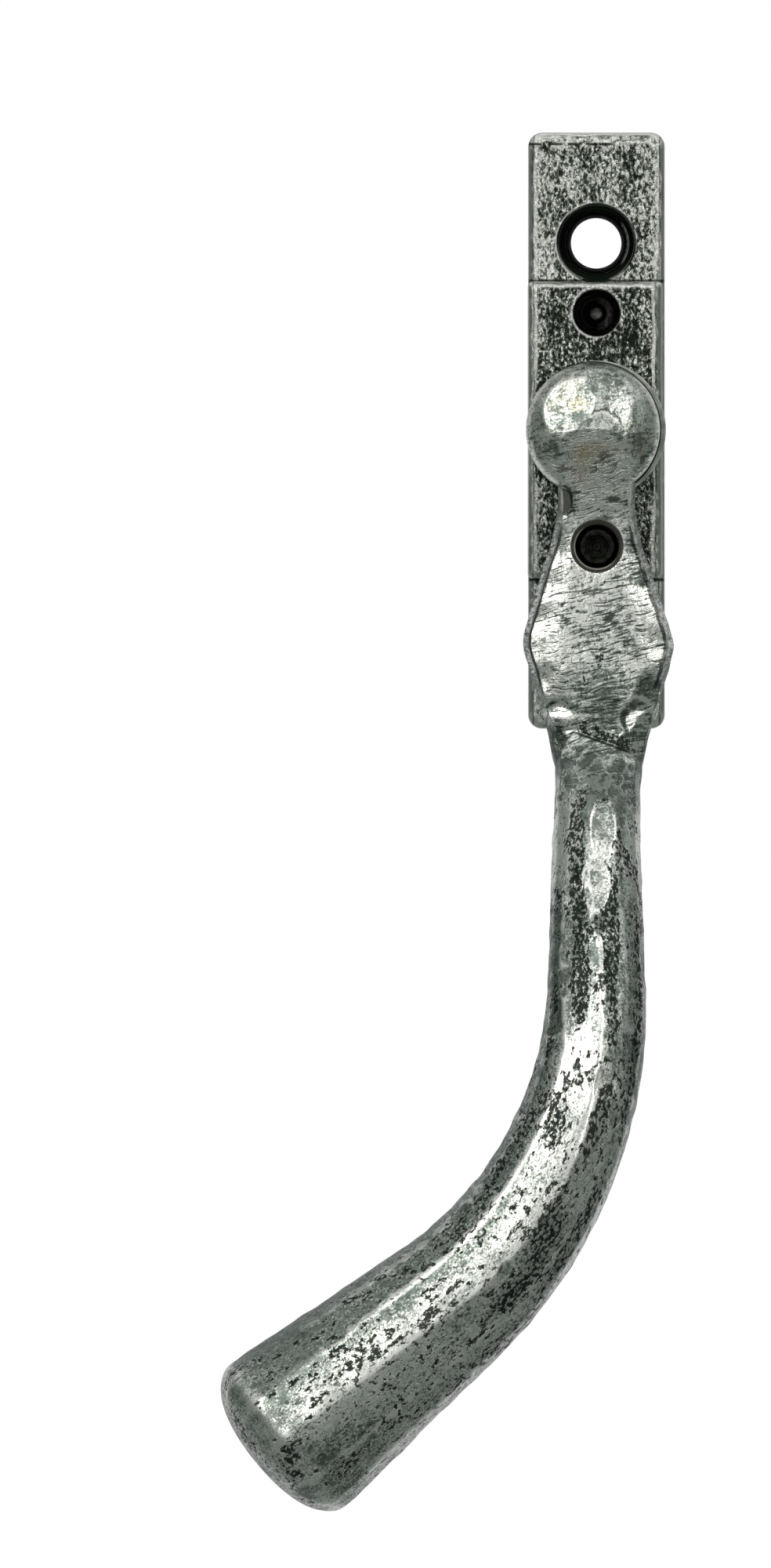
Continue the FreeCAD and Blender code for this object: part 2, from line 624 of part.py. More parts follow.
def make_lever():
    """Forged in one: domed head, flat kite, and an arm that lifts, swells and turns away."""
    bar = doc.addObject("Part::Feature", "forged_bar")
    bar.Shape = Part.makeLoft(forged_bar_sections(), True, True)
    rim = doc.addObject("Part::Cylinder", "head_rim_disc")
    bind(rim, "Radius", "head_diameter / 2")
    bind(rim, "Height", "head_rim")
    ball = doc.addObject("Part::Sphere", "dome_ball")
    ball_radius = "((head_diameter / 2) ^ 2 + head_dome ^ 2) / (2 * head_dome)"
    bind(ball, "Radius", ball_radius)
    lens = doc.addObject("Part::Cylinder", "dome_limit")
    bind(lens, "Radius", "head_diameter / 2")
    bind(lens, "Height", "head_dome")
    upright = FreeCAD.Rotation(FreeCAD.Vector(1, 0, 0), 90)
    for item, depth in ((rim, "head_back"), (lens, "(head_back + head_rim)"),
                        (ball, f"(head_back + head_rim + head_dome - {ball_radius})")):
        item.Placement = FreeCAD.Placement(FreeCAD.Vector(0, 0, 0), upright)
        bind(item, "Placement.Base.x", "head_shift")
        bind(item, "Placement.Base.y", f"-{depth}")
    dome = doc.addObject("Part::Common", "dome")
    dome.Base, dome.Tool = ball, lens
    blank = doc.addObject("Part::MultiFuse", "lever_blank")
    blank.Shapes = [bar, rim, dome]
    bore = doc.addObject("Part::Cylinder", "head_bore")
    bind(bore, "Radius", "journal / 2")
    bind(bore, "Height", "spigot_length")
    thread = doc.addObject("Part::Cylinder", "screw_hole")
    bind(thread, "Radius", "screw_diameter / 2")
    bind(thread, "Height", "kite_thickness")
    mouth = doc.addObject("Part::Cone", "screw_hole_mouth")
    bind(mouth, "Radius1", "screw_diameter / 2")
    bind(mouth, "Radius2", "screw_mouth / 2")
    bind(mouth, "Height", "(screw_mouth - screw_diameter) / 2")
    for item, depth, drop in ((bore, "head_back", "0"), (thread, "head_back", "-lock_offset"),
                              (mouth, "(head_back + kite_thickness - (screw_mouth - screw_diameter) / 2)",
                               "-lock_offset")):
        item.Placement = FreeCAD.Placement(FreeCAD.Vector(0, 0, 0), upright)
        bind(item, "Placement.Base.y", f"-{depth}")
        bind(item, "Placement.Base.z", drop)
    tools = doc.addObject("Part::MultiFuse", "lever_drillings")
    tools.Shapes = [bore, thread, mouth]
    lever = doc.addObject("Part::Cut", "lever")
    lever.Label = "lever"
    lever.Base, lever.Tool = blank, tools
    doc.recompute()
    return lever


pieces = [
    make_base_plate(),
    make_pivot_bush(),
    make_wave_washer(),
    make_pivot_stem(),
    make_stop_washer(),
    make_retaining_clip(),
    make_spindle(),
    make_spindle_pin(),
    make_lever(),
    make_lock_screw(),
]
doc.recompute()

for item in doc.Objects:
    if "Invalid" in item.State or "Error" in item.State:
        raise RuntimeError(f"{item.Name} failed: {item.State}")
for piece in pieces:
    if piece.Shape.isNull() or not piece.Shape.isValid() or len(piece.Shape.Solids) != 1:
        raise RuntimeError(f"{piece.Label} is not one valid solid")

os.makedirs("parts", exist_ok=True)
for piece in pieces:
    box = piece.Shape.BoundBox
    print(f"{piece.Label:16s} {piece.Shape.Volume:9.2f} mm3  x {box.XMin:7.2f} {box.XMax:7.2f}"
          f"  y {box.YMin:7.2f} {box.YMax:7.2f}  z {box.ZMin:8.2f} {box.ZMax:7.2f}")
    piece.Shape.exportStep(f"parts/{piece.Label}.step")
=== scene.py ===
import math

import bmesh
import bpy
import numpy as np
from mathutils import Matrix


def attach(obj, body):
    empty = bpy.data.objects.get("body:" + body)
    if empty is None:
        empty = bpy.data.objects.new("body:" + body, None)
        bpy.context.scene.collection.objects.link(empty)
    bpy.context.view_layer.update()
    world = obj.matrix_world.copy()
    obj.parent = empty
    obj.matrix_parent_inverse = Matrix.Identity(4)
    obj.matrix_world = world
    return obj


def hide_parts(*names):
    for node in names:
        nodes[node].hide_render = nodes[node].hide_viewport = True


# The finish of a hand-forged window handle: a cast base plate, and a forged lever with a
# domed head, a kite-shaped flat and an arm that bends to the left. +Z is up and the room
# is at -Y. Shapes are worked out in millimetres and scaled by MM to metres, in which the
# materials, the lights and the camera measure.

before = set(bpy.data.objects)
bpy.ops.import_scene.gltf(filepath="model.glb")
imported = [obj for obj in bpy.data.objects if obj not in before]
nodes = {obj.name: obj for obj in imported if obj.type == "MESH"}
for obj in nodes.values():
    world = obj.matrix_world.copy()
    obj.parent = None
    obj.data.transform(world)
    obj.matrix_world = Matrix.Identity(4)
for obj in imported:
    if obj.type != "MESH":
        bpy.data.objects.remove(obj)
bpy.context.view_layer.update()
MM = 0.001

# Floor and background
# A pale round floor well below the handle, whose rim fades out, in front of plain white.
floor_drop, floor_radius, floor_fade, floor_corners = 0.205, 1.0, 0.6, 96


class Wire:
    """The output of a shader node, which can stand in a sum: each sum adds a Math node."""

    def __init__(self, finish, socket):
        self.finish = finish
        self.socket = socket

    def sum(self, operation, *values):
        """One Math node on these values."""
        inputs = dict(enumerate(values))
        return self.finish.node("ShaderNodeMath", {"operation": operation}, inputs)

    def __add__(self, other):
        return self.sum("ADD", self, other)

    __radd__ = __add__

    def __sub__(self, other):
        return self.sum("SUBTRACT", self, other)

    def __rsub__(self, other):
        return self.sum("SUBTRACT", other, self)

    def __mul__(self, other):
        return self.sum("MULTIPLY", self, other)

    __rmul__ = __mul__

    def __pow__(self, other):
        return self.sum("POWER", self, other)

    def largest(self, other):
        return self.sum("MAXIMUM", self, other)

    def smallest(self, other):
        return self.sum("MINIMUM", self, other)

    def step(self, low, high):
        """0 below low, 1 above high, and a smooth rise between them. Low may be above high."""
        if low > high:
            return 1 - self.step(high, low)
        return self.finish.node(
            "ShaderNodeMapRange",
            {"interpolation_type": "SMOOTHSTEP"},
            {"Value": self, "From Min": low, "From Max": high},
        )

    def band(self, start, full, still, end):
        """1 from full to still, with a smooth rise from 0 at start and fall to 0 at end."""
        return self.step(start, full) * self.step(end, still)


class Finish:
    """A node tree, of a material or of the world, that is written as sums of wires."""

    def __init__(self, owner):
        self.owner = owner
        owner.use_nodes = True
        self.tree = owner.node_tree
        self.tree.nodes.clear()

    def node(self, kind, settings=None, inputs=None, output=0):
        """Adds one node: its settings first, then the values or wires of its sockets."""
        made = self.tree.nodes.new(kind)
        for field, value in (settings or {}).items():
            setattr(made, field, value)
        for name, value in (inputs or {}).items():
            if isinstance(value, Wire):
                self.tree.links.new(value.socket, made.inputs[name])
            else:
                made.inputs[name].default_value = value
        return Wire(self, made.outputs[output])

    def place(self):
        """Where a point is on the piece, in metres."""
        return self.node("ShaderNodeTexCoord", output="Object")

    def split(self, vector):
        """The three parts of a vector."""
        made = self.node("ShaderNodeSeparateXYZ", {}, {0: vector})
        return [Wire(self, socket) for socket in made.socket.node.outputs]

    def stretched(self, vector, scale):
        """The vector scaled along each axis, for a pattern with a grain."""
        return self.node("ShaderNodeMapping", {}, {"Vector": vector, "Scale": scale})

    def slanted(self, vector, lengths, turn):
        """The vector in a frame turned about Y, in units of these lengths in metres."""
        inputs = {"Vector": vector, "Scale": lengths, "Rotation": (0, math.radians(turn), 0)}
        return self.node("ShaderNodeMapping", {"vector_type": "TEXTURE"}, inputs)

    def noise(self, vector, scale, detail, rough, warp=0.0):
        """Cloudy noise from 0 to 1, with lumps of about 1 / scale."""
        inputs = {"Vector": vector, "Scale": scale, "Detail": detail, "Roughness": rough, "Distortion": warp}
        return self.node("ShaderNodeTexNoise", {}, inputs)

    def cells(self, vector, scale):
        """Distance from the nearest border between cells, about 1 / scale wide."""
        inputs = {"Vector": vector, "Scale": scale, "Randomness": 0.9}
        return self.node("ShaderNodeTexVoronoi", {"feature": "DISTANCE_TO_EDGE"}, inputs)

    def written(self, name, output="Fac"):
        """A number, or with output Vector a vector, that the mesh holds at its points."""
        return self.node("ShaderNodeAttribute", {"attribute_name": name}, output=output)

    def moved(self, vector, other, amount):
        """The vector pushed about by another one, as a pattern is by noise."""
        pushed = self.node("ShaderNodeVectorMath", {"operation": "SCALE"}, {0: other, "Scale": amount})
        return self.node("ShaderNodeVectorMath", {"operation": "ADD"}, {0: vector, 1: pushed})

    def blend(self, share, first, second):
        """A colour that goes from the first to the second with the share."""
        inputs = {0: share}
        for index, colour in ((6, first), (7, second)):
            inputs[index] = colour if isinstance(colour, Wire) else (*colour, 1.0)
        return self.node("ShaderNodeMix", {"data_type": "RGBA"}, inputs, 2)

    def layered(self, colour, *layers):
        """The colour under layers, each of which is a share and the colour it blends in."""
        for share, over in layers:
            colour = self.blend(share, colour, over)
        return colour

    def relief(self, height, depth):
        """A bump of this depth in metres."""
        return self.node("ShaderNodeBump", {}, {"Height": height, "Distance": depth, "Strength": 1.0})

    def surface(self, **sockets):
        """Ends a material: a principled shader with these sockets."""
        inputs = {name.replace("_", " "): value for name, value in sockets.items()}
        shader = self.node("ShaderNodeBsdfPrincipled", {}, inputs)
        self.node_out("ShaderNodeOutputMaterial", shader)
        return self.owner

    def node_out(self, kind, shader):
        """Ends a tree: an output node with this shader as its surface."""
        made = self.tree.nodes.new(kind)
        self.tree.links.new(shader.socket, made.inputs["Surface"])


def radial(first, second):
    """How long a vector is that has these two wires as its parts."""
    return (first * first + second * second) ** 0.5


def columns(*values):
    """Numbers and rows of numbers side by side, as the columns of one array."""
    return np.stack(np.broadcast_arrays(*values), axis=-1)


def mesh_piece(name, points, faces):
    """A mesh object from an array of points in millimetres and a list of faces."""
    mesh = bpy.data.meshes.new(name)
    mesh.from_pydata((points * MM).tolist(), [], faces)
    mesh.update()
    mesh.shade_smooth()
    piece = bpy.data.objects.new(name, mesh)
    bpy.context.scene.collection.objects.link(piece)
    return piece


around = np.linspace(0, 2 * np.pi, floor_corners, endpoint=False)
rim = columns(np.cos(around), np.sin(around), 0)
floor_points = rim * floor_radius / MM - [0, 0, floor_drop / MM]
floor = mesh_piece("floor", floor_points, [list(range(floor_corners))])

paper = Finish(bpy.data.materials.new("pale_floor"))
floor_x, floor_y = paper.split(paper.place())[:2]
matt = paper.node("ShaderNodeBsdfDiffuse", {}, {"Color": (0.86, 0.865, 0.86, 1.0)})
clear = paper.node("ShaderNodeBsdfTransparent")
fading = radial(floor_x, floor_y).step(floor_radius - floor_fade, floor_radius)
faded = paper.node("ShaderNodeMixShader", {}, {0: fading, 1: matt, 2: clear})
paper.node_out("ShaderNodeOutputMaterial", faded)
floor.data.materials.append(paper.owner)
floor.visible_glossy = False

# White behind the handle lights its outline, and the room in front of it is dimmer.
world = bpy.data.worlds.new("studio")
bpy.context.scene.world = world
studio = Finish(world)
way_y, way_z = studio.split(studio.node("ShaderNodeTexCoord", output="Generated"))[1:]
light_level = (
    0.20
    + 0.36 * way_y.step(0.30, 0.80)
    + 0.55 * way_z.step(0.30, 0.78) * way_y.step(0.35, -0.05)
    + 0.48 * way_y.step(-0.94, -0.995)
)
seen = studio.node("ShaderNodeLightPath", output="Is Camera Ray")
level = light_level + seen * (1.0 - light_level)
tint = studio.blend(level.step(0.22, 0.60), (0.92, 1.0, 0.935), (1.0, 1.0, 1.0))
sky = studio.node("ShaderNodeBackground", {}, {"Color": tint, "Strength": level})
studio.node_out("ShaderNodeOutputWorld", sky)

# Base plate
# A casting with a pewter patina: two thin screw tabs and a raised block. Its skin is
# granular, its front edges are filed by hand, and the countersinks are painted black.
plate_half_width, plate_half_length, plate_corner = 7.85, 34.2, 1.6
tab_front, block_front = 5.0, 10.0
plate_edge_step, turning_steps = 0.3, 96
fixing_drop, fixing_radius, sink_radius = 21.5, 2.9, 4.5
lock_drop, lock_radius, lock_depth, drill_half_angle = 13.4, 2.7, 5.0, 59
bore_radius, recess_radius, recess_depth = 6.45, 7.05, 3.2
stop_tab_half_width, fan_reach = 1.2, 8.55
fan_half_turn = 45.6 + math.degrees(math.asin(stop_tab_half_width / recess_radius))


def wander(along, wave, size, seed):
    """A smooth random line: a sum of six sines with lengths near wave, scaled to size."""
    random = np.random.default_rng(seed)
    rates = 2 * np.pi / (wave * random.uniform(0.6, 1.9, 6))
    starts = random.uniform(0, 2 * np.pi, 6)
    weights = random.uniform(0.5, 1.0, 6)
    waves = np.sin(np.multiply.outer(along, rates) + starts) * weights
    return size * waves.sum(axis=-1) / weights.sum()


def slab(name, left, right, low, high, corner, back, front, bevels, bevel_drop, rough_edge, seed):
    """A flat casting with a filed edge, as loops that shrink to its middle line.

    The outline is a rectangle with rounded corners, walked in even steps. Each loop lies a
    share of the way from the outline to the nearest point of the rectangle's middle line.
    The side wall climbs from back to front, and near the edge the front drops along a
    bevel, whose width wanders by rough_edge. Bevels are the widths left, right, low, high."""
    middle_x, middle_z = (left + right) / 2, (low + high) / 2
    half_x, half_z = (right - left) / 2, (high - low) / 2
    steps_x = int(round((half_x - corner) / plate_edge_step))
    steps_z = int(round((half_z - corner) / plate_edge_step))
    side_z = np.linspace(0, half_z - corner, steps_z, endpoint=False)
    bend = np.linspace(0, np.pi / 2, 9)[:-1]
    side_x = np.linspace(half_x - corner, 0, steps_x + 1)
    quarter = np.concatenate([
        columns(half_x, side_z),
        columns(half_x - corner + corner * np.cos(bend), half_z - corner + corner * np.sin(bend)),
        columns(side_x, half_z),
    ])
    mirrored = quarter[::-1][1:] * [-1, 1]
    half = np.concatenate([quarter, mirrored])
    outline = np.concatenate([half, half[1:-1][::-1] * [1, -1]])
    reach = half_z - half_x
    centre = columns(0, np.clip(outline[:, 1], -reach, reach))
    inward = centre - outline
    depth_to_middle = np.maximum(np.abs(inward[:, 0]), np.abs(inward[:, 1]))
    walk = np.cumsum(np.linalg.norm(outline - np.roll(outline, 1, axis=0), axis=1))
    toward = (outline - centre) / half_x
    share = toward ** 4 / (toward ** 4).sum(axis=1, keepdims=True)
    wide = share[:, 0] * np.where(outline[:, 0] < 0, bevels[0], bevels[1])
    wide += share[:, 1] * np.where(outline[:, 1] < 0, bevels[2], bevels[3])
    wide = wide * (1 + wander(walk, 5.0, rough_edge, seed) + wander(walk, 1.6, rough_edge * 0.6, seed + 1))
    wide = np.clip(wide, 0.12, None)
    # Rows from the back's middle line out to its edge, up the side wall, over the bevel and
    # in to the front's middle line.
    loops = int(round(half_x / plate_edge_step))
    rows = [(depth_to_middle * part, back) for part in np.linspace(1, 0, 9)[:-1]]
    rows += [(0 * wide, back + (front - bevel_drop - back) * part) for part in (0.0, 0.25, 0.5, 0.75)]
    rows += [(wide * part, front - bevel_drop * (1 - part ** 0.8)) for part in np.linspace(0, 1, 7)]
    rows += [(wide + (depth_to_middle - wide) * part, front) for part in np.linspace(0, 1, loops + 1)[1:]]
    insets = np.array([inset for inset, _ in rows])
    drops = np.array([0 * wide + drop for _, drop in rows])
    place = outline + inward * (insets / depth_to_middle)[:, :, None]
    x, z = place[:, :, 0] + middle_x, place[:, :, 1] + middle_z
    uneven = 0.05 * (wander(x + 0.6 * z, 6.0, 1, seed + 2) + wander(z - 0.7 * x, 5.0, 1, seed + 3) - 1.6)
    fall = np.where(drops > front - bevel_drop - 1e-6, uneven, 0)
    return grid_piece(name, columns(x, -(drops + np.minimum(fall, 0)), z), open_ends=True)


def grid_piece(name, grid, open_ends=False):
    """A mesh from rows of points, where each row is a closed loop.

    Each end row is closed by a fan to its middle. With open_ends it isn't, for a row that
    lies on a line and closes when its doubled points are merged."""
    rows, length = grid.shape[:2]
    points = grid.reshape(-1, 3)
    row, column = np.meshgrid(np.arange(rows - 1), np.arange(length), indexing="ij")
    here, beside = row * length + column, row * length + (column + 1) % length
    quads = columns(here, beside, beside + length, here + length).reshape(-1, 4).tolist()
    if not open_ends:
        points = np.concatenate([points, grid[:1].mean(axis=1), grid[-1:].mean(axis=1)])
        column = np.arange(length)
        following = (column + 1) % length
        start, end = len(points) - 2, (rows - 1) * length
        quads += columns(following, column, start).tolist()
        quads += columns(end + column, end + following, start + 1).tolist()
    piece = mesh_piece(name, points, quads)
    sealed(piece)
    return piece


def sealed(piece):
    """Merges doubled points, drops faces with no area and turns all faces outwards."""
    shell = bmesh.new()
    shell.from_mesh(piece.data)
    bmesh.ops.remove_doubles(shell, verts=shell.verts, dist=1e-7)
    bmesh.ops.dissolve_degenerate(shell, dist=1e-8, edges=shell.edges)
    bmesh.ops.recalc_face_normals(shell, faces=shell.faces)
    if shell.calc_volume(signed=True) < 0:
        bmesh.ops.reverse_faces(shell, faces=shell.faces)
    shell.to_mesh(piece.data)
    shell.free()


def turned(name, profile, z=0.0):
    """A turned shape about an axis along Y: the profile is rows of radius and depth."""
    profile = np.array(profile, float)
    angle = np.linspace(0, 2 * np.pi, turning_steps, endpoint=False)
    across = np.multiply.outer(profile[:, 0], np.cos(angle))
    up = z + np.multiply.outer(profile[:, 0], np.sin(angle))
    return grid_piece(name, columns(across, -profile[:, 1:2], up))


def prism(name, corners, back, front):
    """A straight-sided shape: corners as x and z, from one depth to the other."""
    corners = np.array(corners, float)
    rows = [columns(corners[:, 0], -depth, corners[:, 1]) for depth in (back, front)]
    return grid_piece(name, np.stack(rows))


def cut(piece, tools, operation="DIFFERENCE"):
    """Cuts the tools out of the piece, or adds them to it, and removes the tools."""
    for tool in tools:
        step = piece.modifiers.new("step", "BOOLEAN")
        step.operation = operation
        step.solver = "MANIFOLD"
        step.object = tool
        cutter_view = bpy.context.evaluated_depsgraph_get()
        result = bpy.data.meshes.new_from_object(piece.evaluated_get(cutter_view))
        piece.modifiers.clear()
        old = piece.data
        piece.data = result
        bpy.data.meshes.remove(old)
        bpy.data.objects.remove(tool)


plate = slab("plate", left=-7.8, right=7.85, low=-34.2, high=34.15, corner=plate_corner, back=0.0,
             front=tab_front, bevels=(0.55, 0.5, 0.6, 1.15), bevel_drop=0.55, rough_edge=0.35, seed=11)
block = slab("block", left=-7.85, right=7.55, low=-16.95, high=17.0, corner=0.5, back=0.5,
             front=block_front, bevels=(0.45, 0.75, 0.5, 0.35), bevel_drop=0.6, rough_edge=0.35, seed=23)
cut(plate, [block], "UNION")
behind, past_front = -1, block_front + 1
lock_bottom = block_front - lock_depth
drill_point = lock_radius / math.tan(math.radians(drill_half_angle))
drills = []
for side in (1, -1):
    drills.append(turned("sink", [
        (fixing_radius, behind), (fixing_radius, tab_front + fixing_radius - sink_radius),
        (sink_radius, tab_front), (sink_radius + 0.25, tab_front + 0.25), (sink_radius + 0.25, past_front),
    ], side * fixing_drop))
    drills.append(turned("drill", [
        (0.01, lock_bottom - drill_point), (lock_radius, lock_bottom), (lock_radius, past_front),
    ], side * lock_drop))
drills.append(turned("bore", [(bore_radius, behind), (bore_radius, past_front)]))
drills.append(turned("recess", [(recess_radius, behind), (recess_radius, recess_depth)]))
fan_angles = np.radians(np.linspace(-fan_half_turn, fan_half_turn, 33))
fan = [(0, 0)] + [(fan_reach * math.sin(a), fan_reach * math.cos(a)) for a in fan_angles]
drills.append(prism("fan", fan, behind, recess_depth))
cut(plate, drills)
plate.name = "base_plate_casting"
plate.data.shade_smooth()


def write_points(piece, name, values):
    """Stores one number, or one vector, at each point of the mesh."""
    kind = "FLOAT" if values.ndim == 1 else "FLOAT_VECTOR"
    field = "value" if values.ndim == 1 else "vector"
    store = piece.data.attributes.new(name, kind, "POINT")
    store.data.foreach_set(field, values.astype(np.float32).ravel())


def read_points(piece):
    """The mesh's points in millimetres, their normals and its edges, as arrays."""
    count = len(piece.data.vertices)
    points, normals = np.zeros(count * 3), np.zeros(count * 3)
    piece.data.vertices.foreach_get("co", points)
    piece.data.vertex_normals.foreach_get("vector", normals)
    edges = np.zeros(len(piece.data.edges) * 2, int)
    piece.data.edges.foreach_get("vertices", edges)
    return points.reshape(-1, 3) / MM, normals.reshape(-1, 3), edges.reshape(-1, 2)


def mean_over_edges(edges, count, at_first, at_second):
    """At each of count points, the mean of what its edges bring: each edge brings its row
    of at_first to its first end, and its row of at_second to its second end."""
    total, met = np.zeros((count, *at_first.shape[1:])), np.zeros(count)
    for end, brought in ((0, at_first), (1, at_second)):
        np.add.at(total, edges[:, end], brought)
        np.add.at(met, edges[:, end], 1)
    return (total.T / np.maximum(met, 1)).T


def mean_of_neighbours(values, edges):
    """At each point, the mean of the values at the points that share an edge with it."""
    return mean_over_edges(edges, len(values), values[edges[:, 1]], values[edges[:, 0]])


def write_wear(piece, evenings):
    """Stores how far each point stands out as an edge, and how squarely it faces the room.

    The edge value is how far the mean of a point's neighbours lies behind it, over their
    mean distance, evened out over the neighbours."""
    points, normals, edges = read_points(piece)
    lengths = np.linalg.norm(points[edges[:, 0]] - points[edges[:, 1]], axis=1)
    spread = mean_over_edges(edges, len(points), lengths, lengths) + 1e-6
    proud = ((points - mean_of_neighbours(points, edges)) * normals).sum(axis=1) / spread
    for _ in range(evenings):
        proud = 0.5 * proud + 0.5 * mean_of_neighbours(proud, edges)
    write_points(piece, "edge", proud)
    write_points(piece, "facing", -normals[:, 1])


write_wear(plate, 2)
casting = Finish(bpy.data.materials.new("plate_patina"))
spot = casting.place()
plate_x, plate_y, plate_z = casting.split(spot)
from_pivot = (plate_z * plate_z) ** 0.5
# Skin: irregular bright crumbs in a black network, drawn out up and down.
upright_grain = casting.stretched(spot, (1.0, 1.0, 0.60))
crumbs = casting.noise(upright_grain, 2900, 4.0, 0.74, 0.4)
clumps = casting.noise(upright_grain, 420, 3.0, 0.6)
streams = casting.noise(casting.stretched(spot, (1.0, 1.0, 0.16)), 900, 2.0, 0.5)
plate_edge = casting.written("edge").step(0.015, 0.06) * plate_y.step(-0.00005, -0.00060)
facing_room = casting.written("facing").step(0.80, 0.97)
# Handling has rubbed the front bright near its edges.
rim_x = plate_half_width * MM - (plate_x * plate_x) ** 0.5
rim_z = plate_half_length * MM - from_pivot
in_front = casting.written("facing").step(0.25, 0.55)
near_rim = rim_x.smallest(rim_z).step(0.0034, 0.0007) * in_front
on_block = plate_y.step(-0.0060, -0.0090)
crumb_height = (
    crumbs + 0.22 * (clumps - 0.5) + 0.18 * (streams - 0.5) + 0.040 * near_rim - 0.043 * on_block + 0.018
)
dark_pores = crumb_height.step(0.51, 0.43)
# File marks down the bevels, and nicks across the top one.
filed = 1 - facing_room
file_streaks = casting.noise(casting.stretched(spot, (1.0, 1.0, 0.10)), 1700, 3.0, 0.6)
filed_colour = casting.blend(file_streaks.step(0.36, 0.64), (0.40, 0.415, 0.39), (0.60, 0.615, 0.585))
top_streaks = casting.noise(casting.stretched(spot, (0.22, 1.0, 1.0)), 1900, 3.0, 0.62)
nicks = top_streaks.step(0.51, 0.43) * plate_z.step(0.0325, 0.0333) * in_front
# Black paint in the countersinks and lock holes.
sink_way = radial(plate_x, from_pivot - fixing_drop * MM)
lock_way = radial(plate_x, from_pivot - lock_drop * MM)
inside = plate_y.step(-0.00003, -0.00030)
in_sink = sink_way.step(4.62 * MM, 4.5 * MM) * plate_y.step(-4.99 * MM, -4.9 * MM) * inside
in_lock = lock_way.step(2.85 * MM, 2.75 * MM) * plate_y.step(-9.98 * MM, -9.85 * MM) * inside
painted = in_sink.largest(in_lock)
# Beside the filed edges a dark line and a broken bright ridge, painted shadow in the corner
# where the block rises, a dark line under the top bevel, a bright edge on the block, and
# rims of the holes that are rubbed bare.
from_edge = rim_x - 0.00045 * on_block * plate_x.step(0, 0.001) + 0.0006 * (clumps - 0.5)
edge_line = from_edge.band(0.00046, 0.00056, 0.00066, 0.00076) * in_front
ridge = from_edge.band(0.00066, 0.00076, 0.00098, 0.00115) * streams.step(0.42, 0.52) * in_front
# Painted shadow in the corner where the block rises from the tab.
step_shadow = from_pivot.band(0.01693, 0.01701, 0.01718, 0.01745)
step_shadow = step_shadow * plate_y.band(-0.0060, -0.0056, -0.0047, -0.0043)
top_line = plate_z.band(0.03262, 0.03276, 0.03292, 0.03306) * plate_x.step(0.0035, 0.0015) * in_front
dark_lines_and_step_shadow = (edge_line * 0.6).largest(step_shadow).largest(top_line * streams.step(0.36, 0.46))
block_edge = from_pivot.step(0.01620, 0.01650) * on_block * facing_room
hole_rims = sink_way.step(0.00485, 0.00462).largest(lock_way.step(0.00305, 0.00285))
hole_rims = hole_rims * (plate_x + plate_z - from_pivot).step(0.002, -0.002)
rubbed_lines = ridge.largest(block_edge).largest(hole_rims * facing_room)
# Turning marks in the holes, bare metal at the bottom of the lock holes, and a painted
# highlight, a bright crescent, on the right of each hole.
turning_place = casting.node("ShaderNodeCombineXYZ", {}, {0: sink_way.smallest(lock_way)})
turning = casting.noise(turning_place, 5200, 1.0, 0.5)
bare_point = lock_way.step(0.0008, 0.0004) * plate_y.step(-0.0048, -0.0040) * inside
sink_painted_highlight = sink_way.band(0.00342, 0.00352, 0.00370, 0.00382) * plate_x.step(0.0027, 0.0034) * in_sink
lock_painted_highlight = lock_way.band(0.0011, 0.0013, 0.0017, 0.0021) * plate_x.step(-0.0002, 0.0010) * in_lock
bare_metal_and_highlights = bare_point.largest(sink_painted_highlight).largest(lock_painted_highlight * 0.85)
# The colours, from the skin up to what lies in the holes.
stone = casting.layered(
    casting.blend(crumb_height.step(0.50, 0.59), (0.13, 0.15, 0.13), (0.80, 0.82, 0.78)),
    (dark_pores * 0.95, (0.010, 0.015, 0.011)),
    (filed * 0.86, filed_colour),
    (nicks * 0.7, (0.10, 0.11, 0.10)),
    (plate_edge * 0.85, (0.92, 0.93, 0.90)),
    (rubbed_lines * 0.75, (0.90, 0.91, 0.88)),
    # Dark lines by the edges and under the top bevel, and the painted shadow at the step.
    (dark_lines_and_step_shadow * 0.9, (0.012, 0.016, 0.012)),
    (painted, (0.006, 0.009, 0.006)),
    (painted * turning.step(0.57, 0.68) * 0.6, (0.12, 0.135, 0.12)),
    # Bare metal at the drill points, and painted highlights in the holes.
    (bare_metal_and_highlights, (0.70, 0.72, 0.68)),
)
skin = casting.relief(crumb_height * (1 - 0.85 * filed) * (1 - painted), 0.00022)
plate.data.materials.clear()
plate.data.materials.append(casting.surface(
    Base_Color=stone, Metallic=1.0, Roughness=0.25 + 0.2 * dark_pores, Normal=skin))
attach(plate, "base")
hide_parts("base_plate")

# Lever
# Forged from one bar with a pewter patina: domed head, kite-shaped flat with filed sides,
# and an arm whose hammered facets run round the bend to a swollen, domed tip.
lever_back, kite_front = 11.9, 18.4
arm_start, arm_shift = 38.5, -0.1
arm_straight, bend_radius, bend_angle, tip_straight = 25.2, 47.0, math.radians(50.8), 27.9
arm_length = arm_straight + bend_radius * bend_angle + tip_straight
tip_dome, tip_fullness = 5.6, 2.2
arm_rise, rise_length, rise_lead = 16.0, 52.0, 3.3
arm_depth_share, arm_half_width, arm_swell, swell_power = 0.84, 5.0, 6.1, 1.7
head_x, head_radius, head_side, head_dome, head_fullness = -0.45, 7.66, 17.1, 4.55, 2.5
edge_drops = [3.5, 7.0, 8.9, 13.1, 16.4, 20.6, 23.6, 24.8, 27.1, 29.6, 32.5, 34.8, 37.0, 38.9, 41.7, 46.0]
edge_left = [4.3, 4.45, 4.4, 5.25, 6.3, 7.55, 8.45, 8.5, 7.85, 7.05, 6.3, 5.6, 5.05, 4.8, 4.75, 4.95]
edge_right = [4.3, 4.4, 4.35, 5.05, 6.25, 7.65, 8.65, 8.85, 8.35, 7.6, 6.75, 6.05, 5.5, 5.1, 5.0, 4.95]
neck_end, neck_slope = 10.0, 0.325
crease_drop, crease_slant, crease_depth = 35.57, 0.36, 0.7
spigot_radius, spigot_depth = 5.95, 6.0
screw_radius, screw_sink_radius = 2.5, 3.0


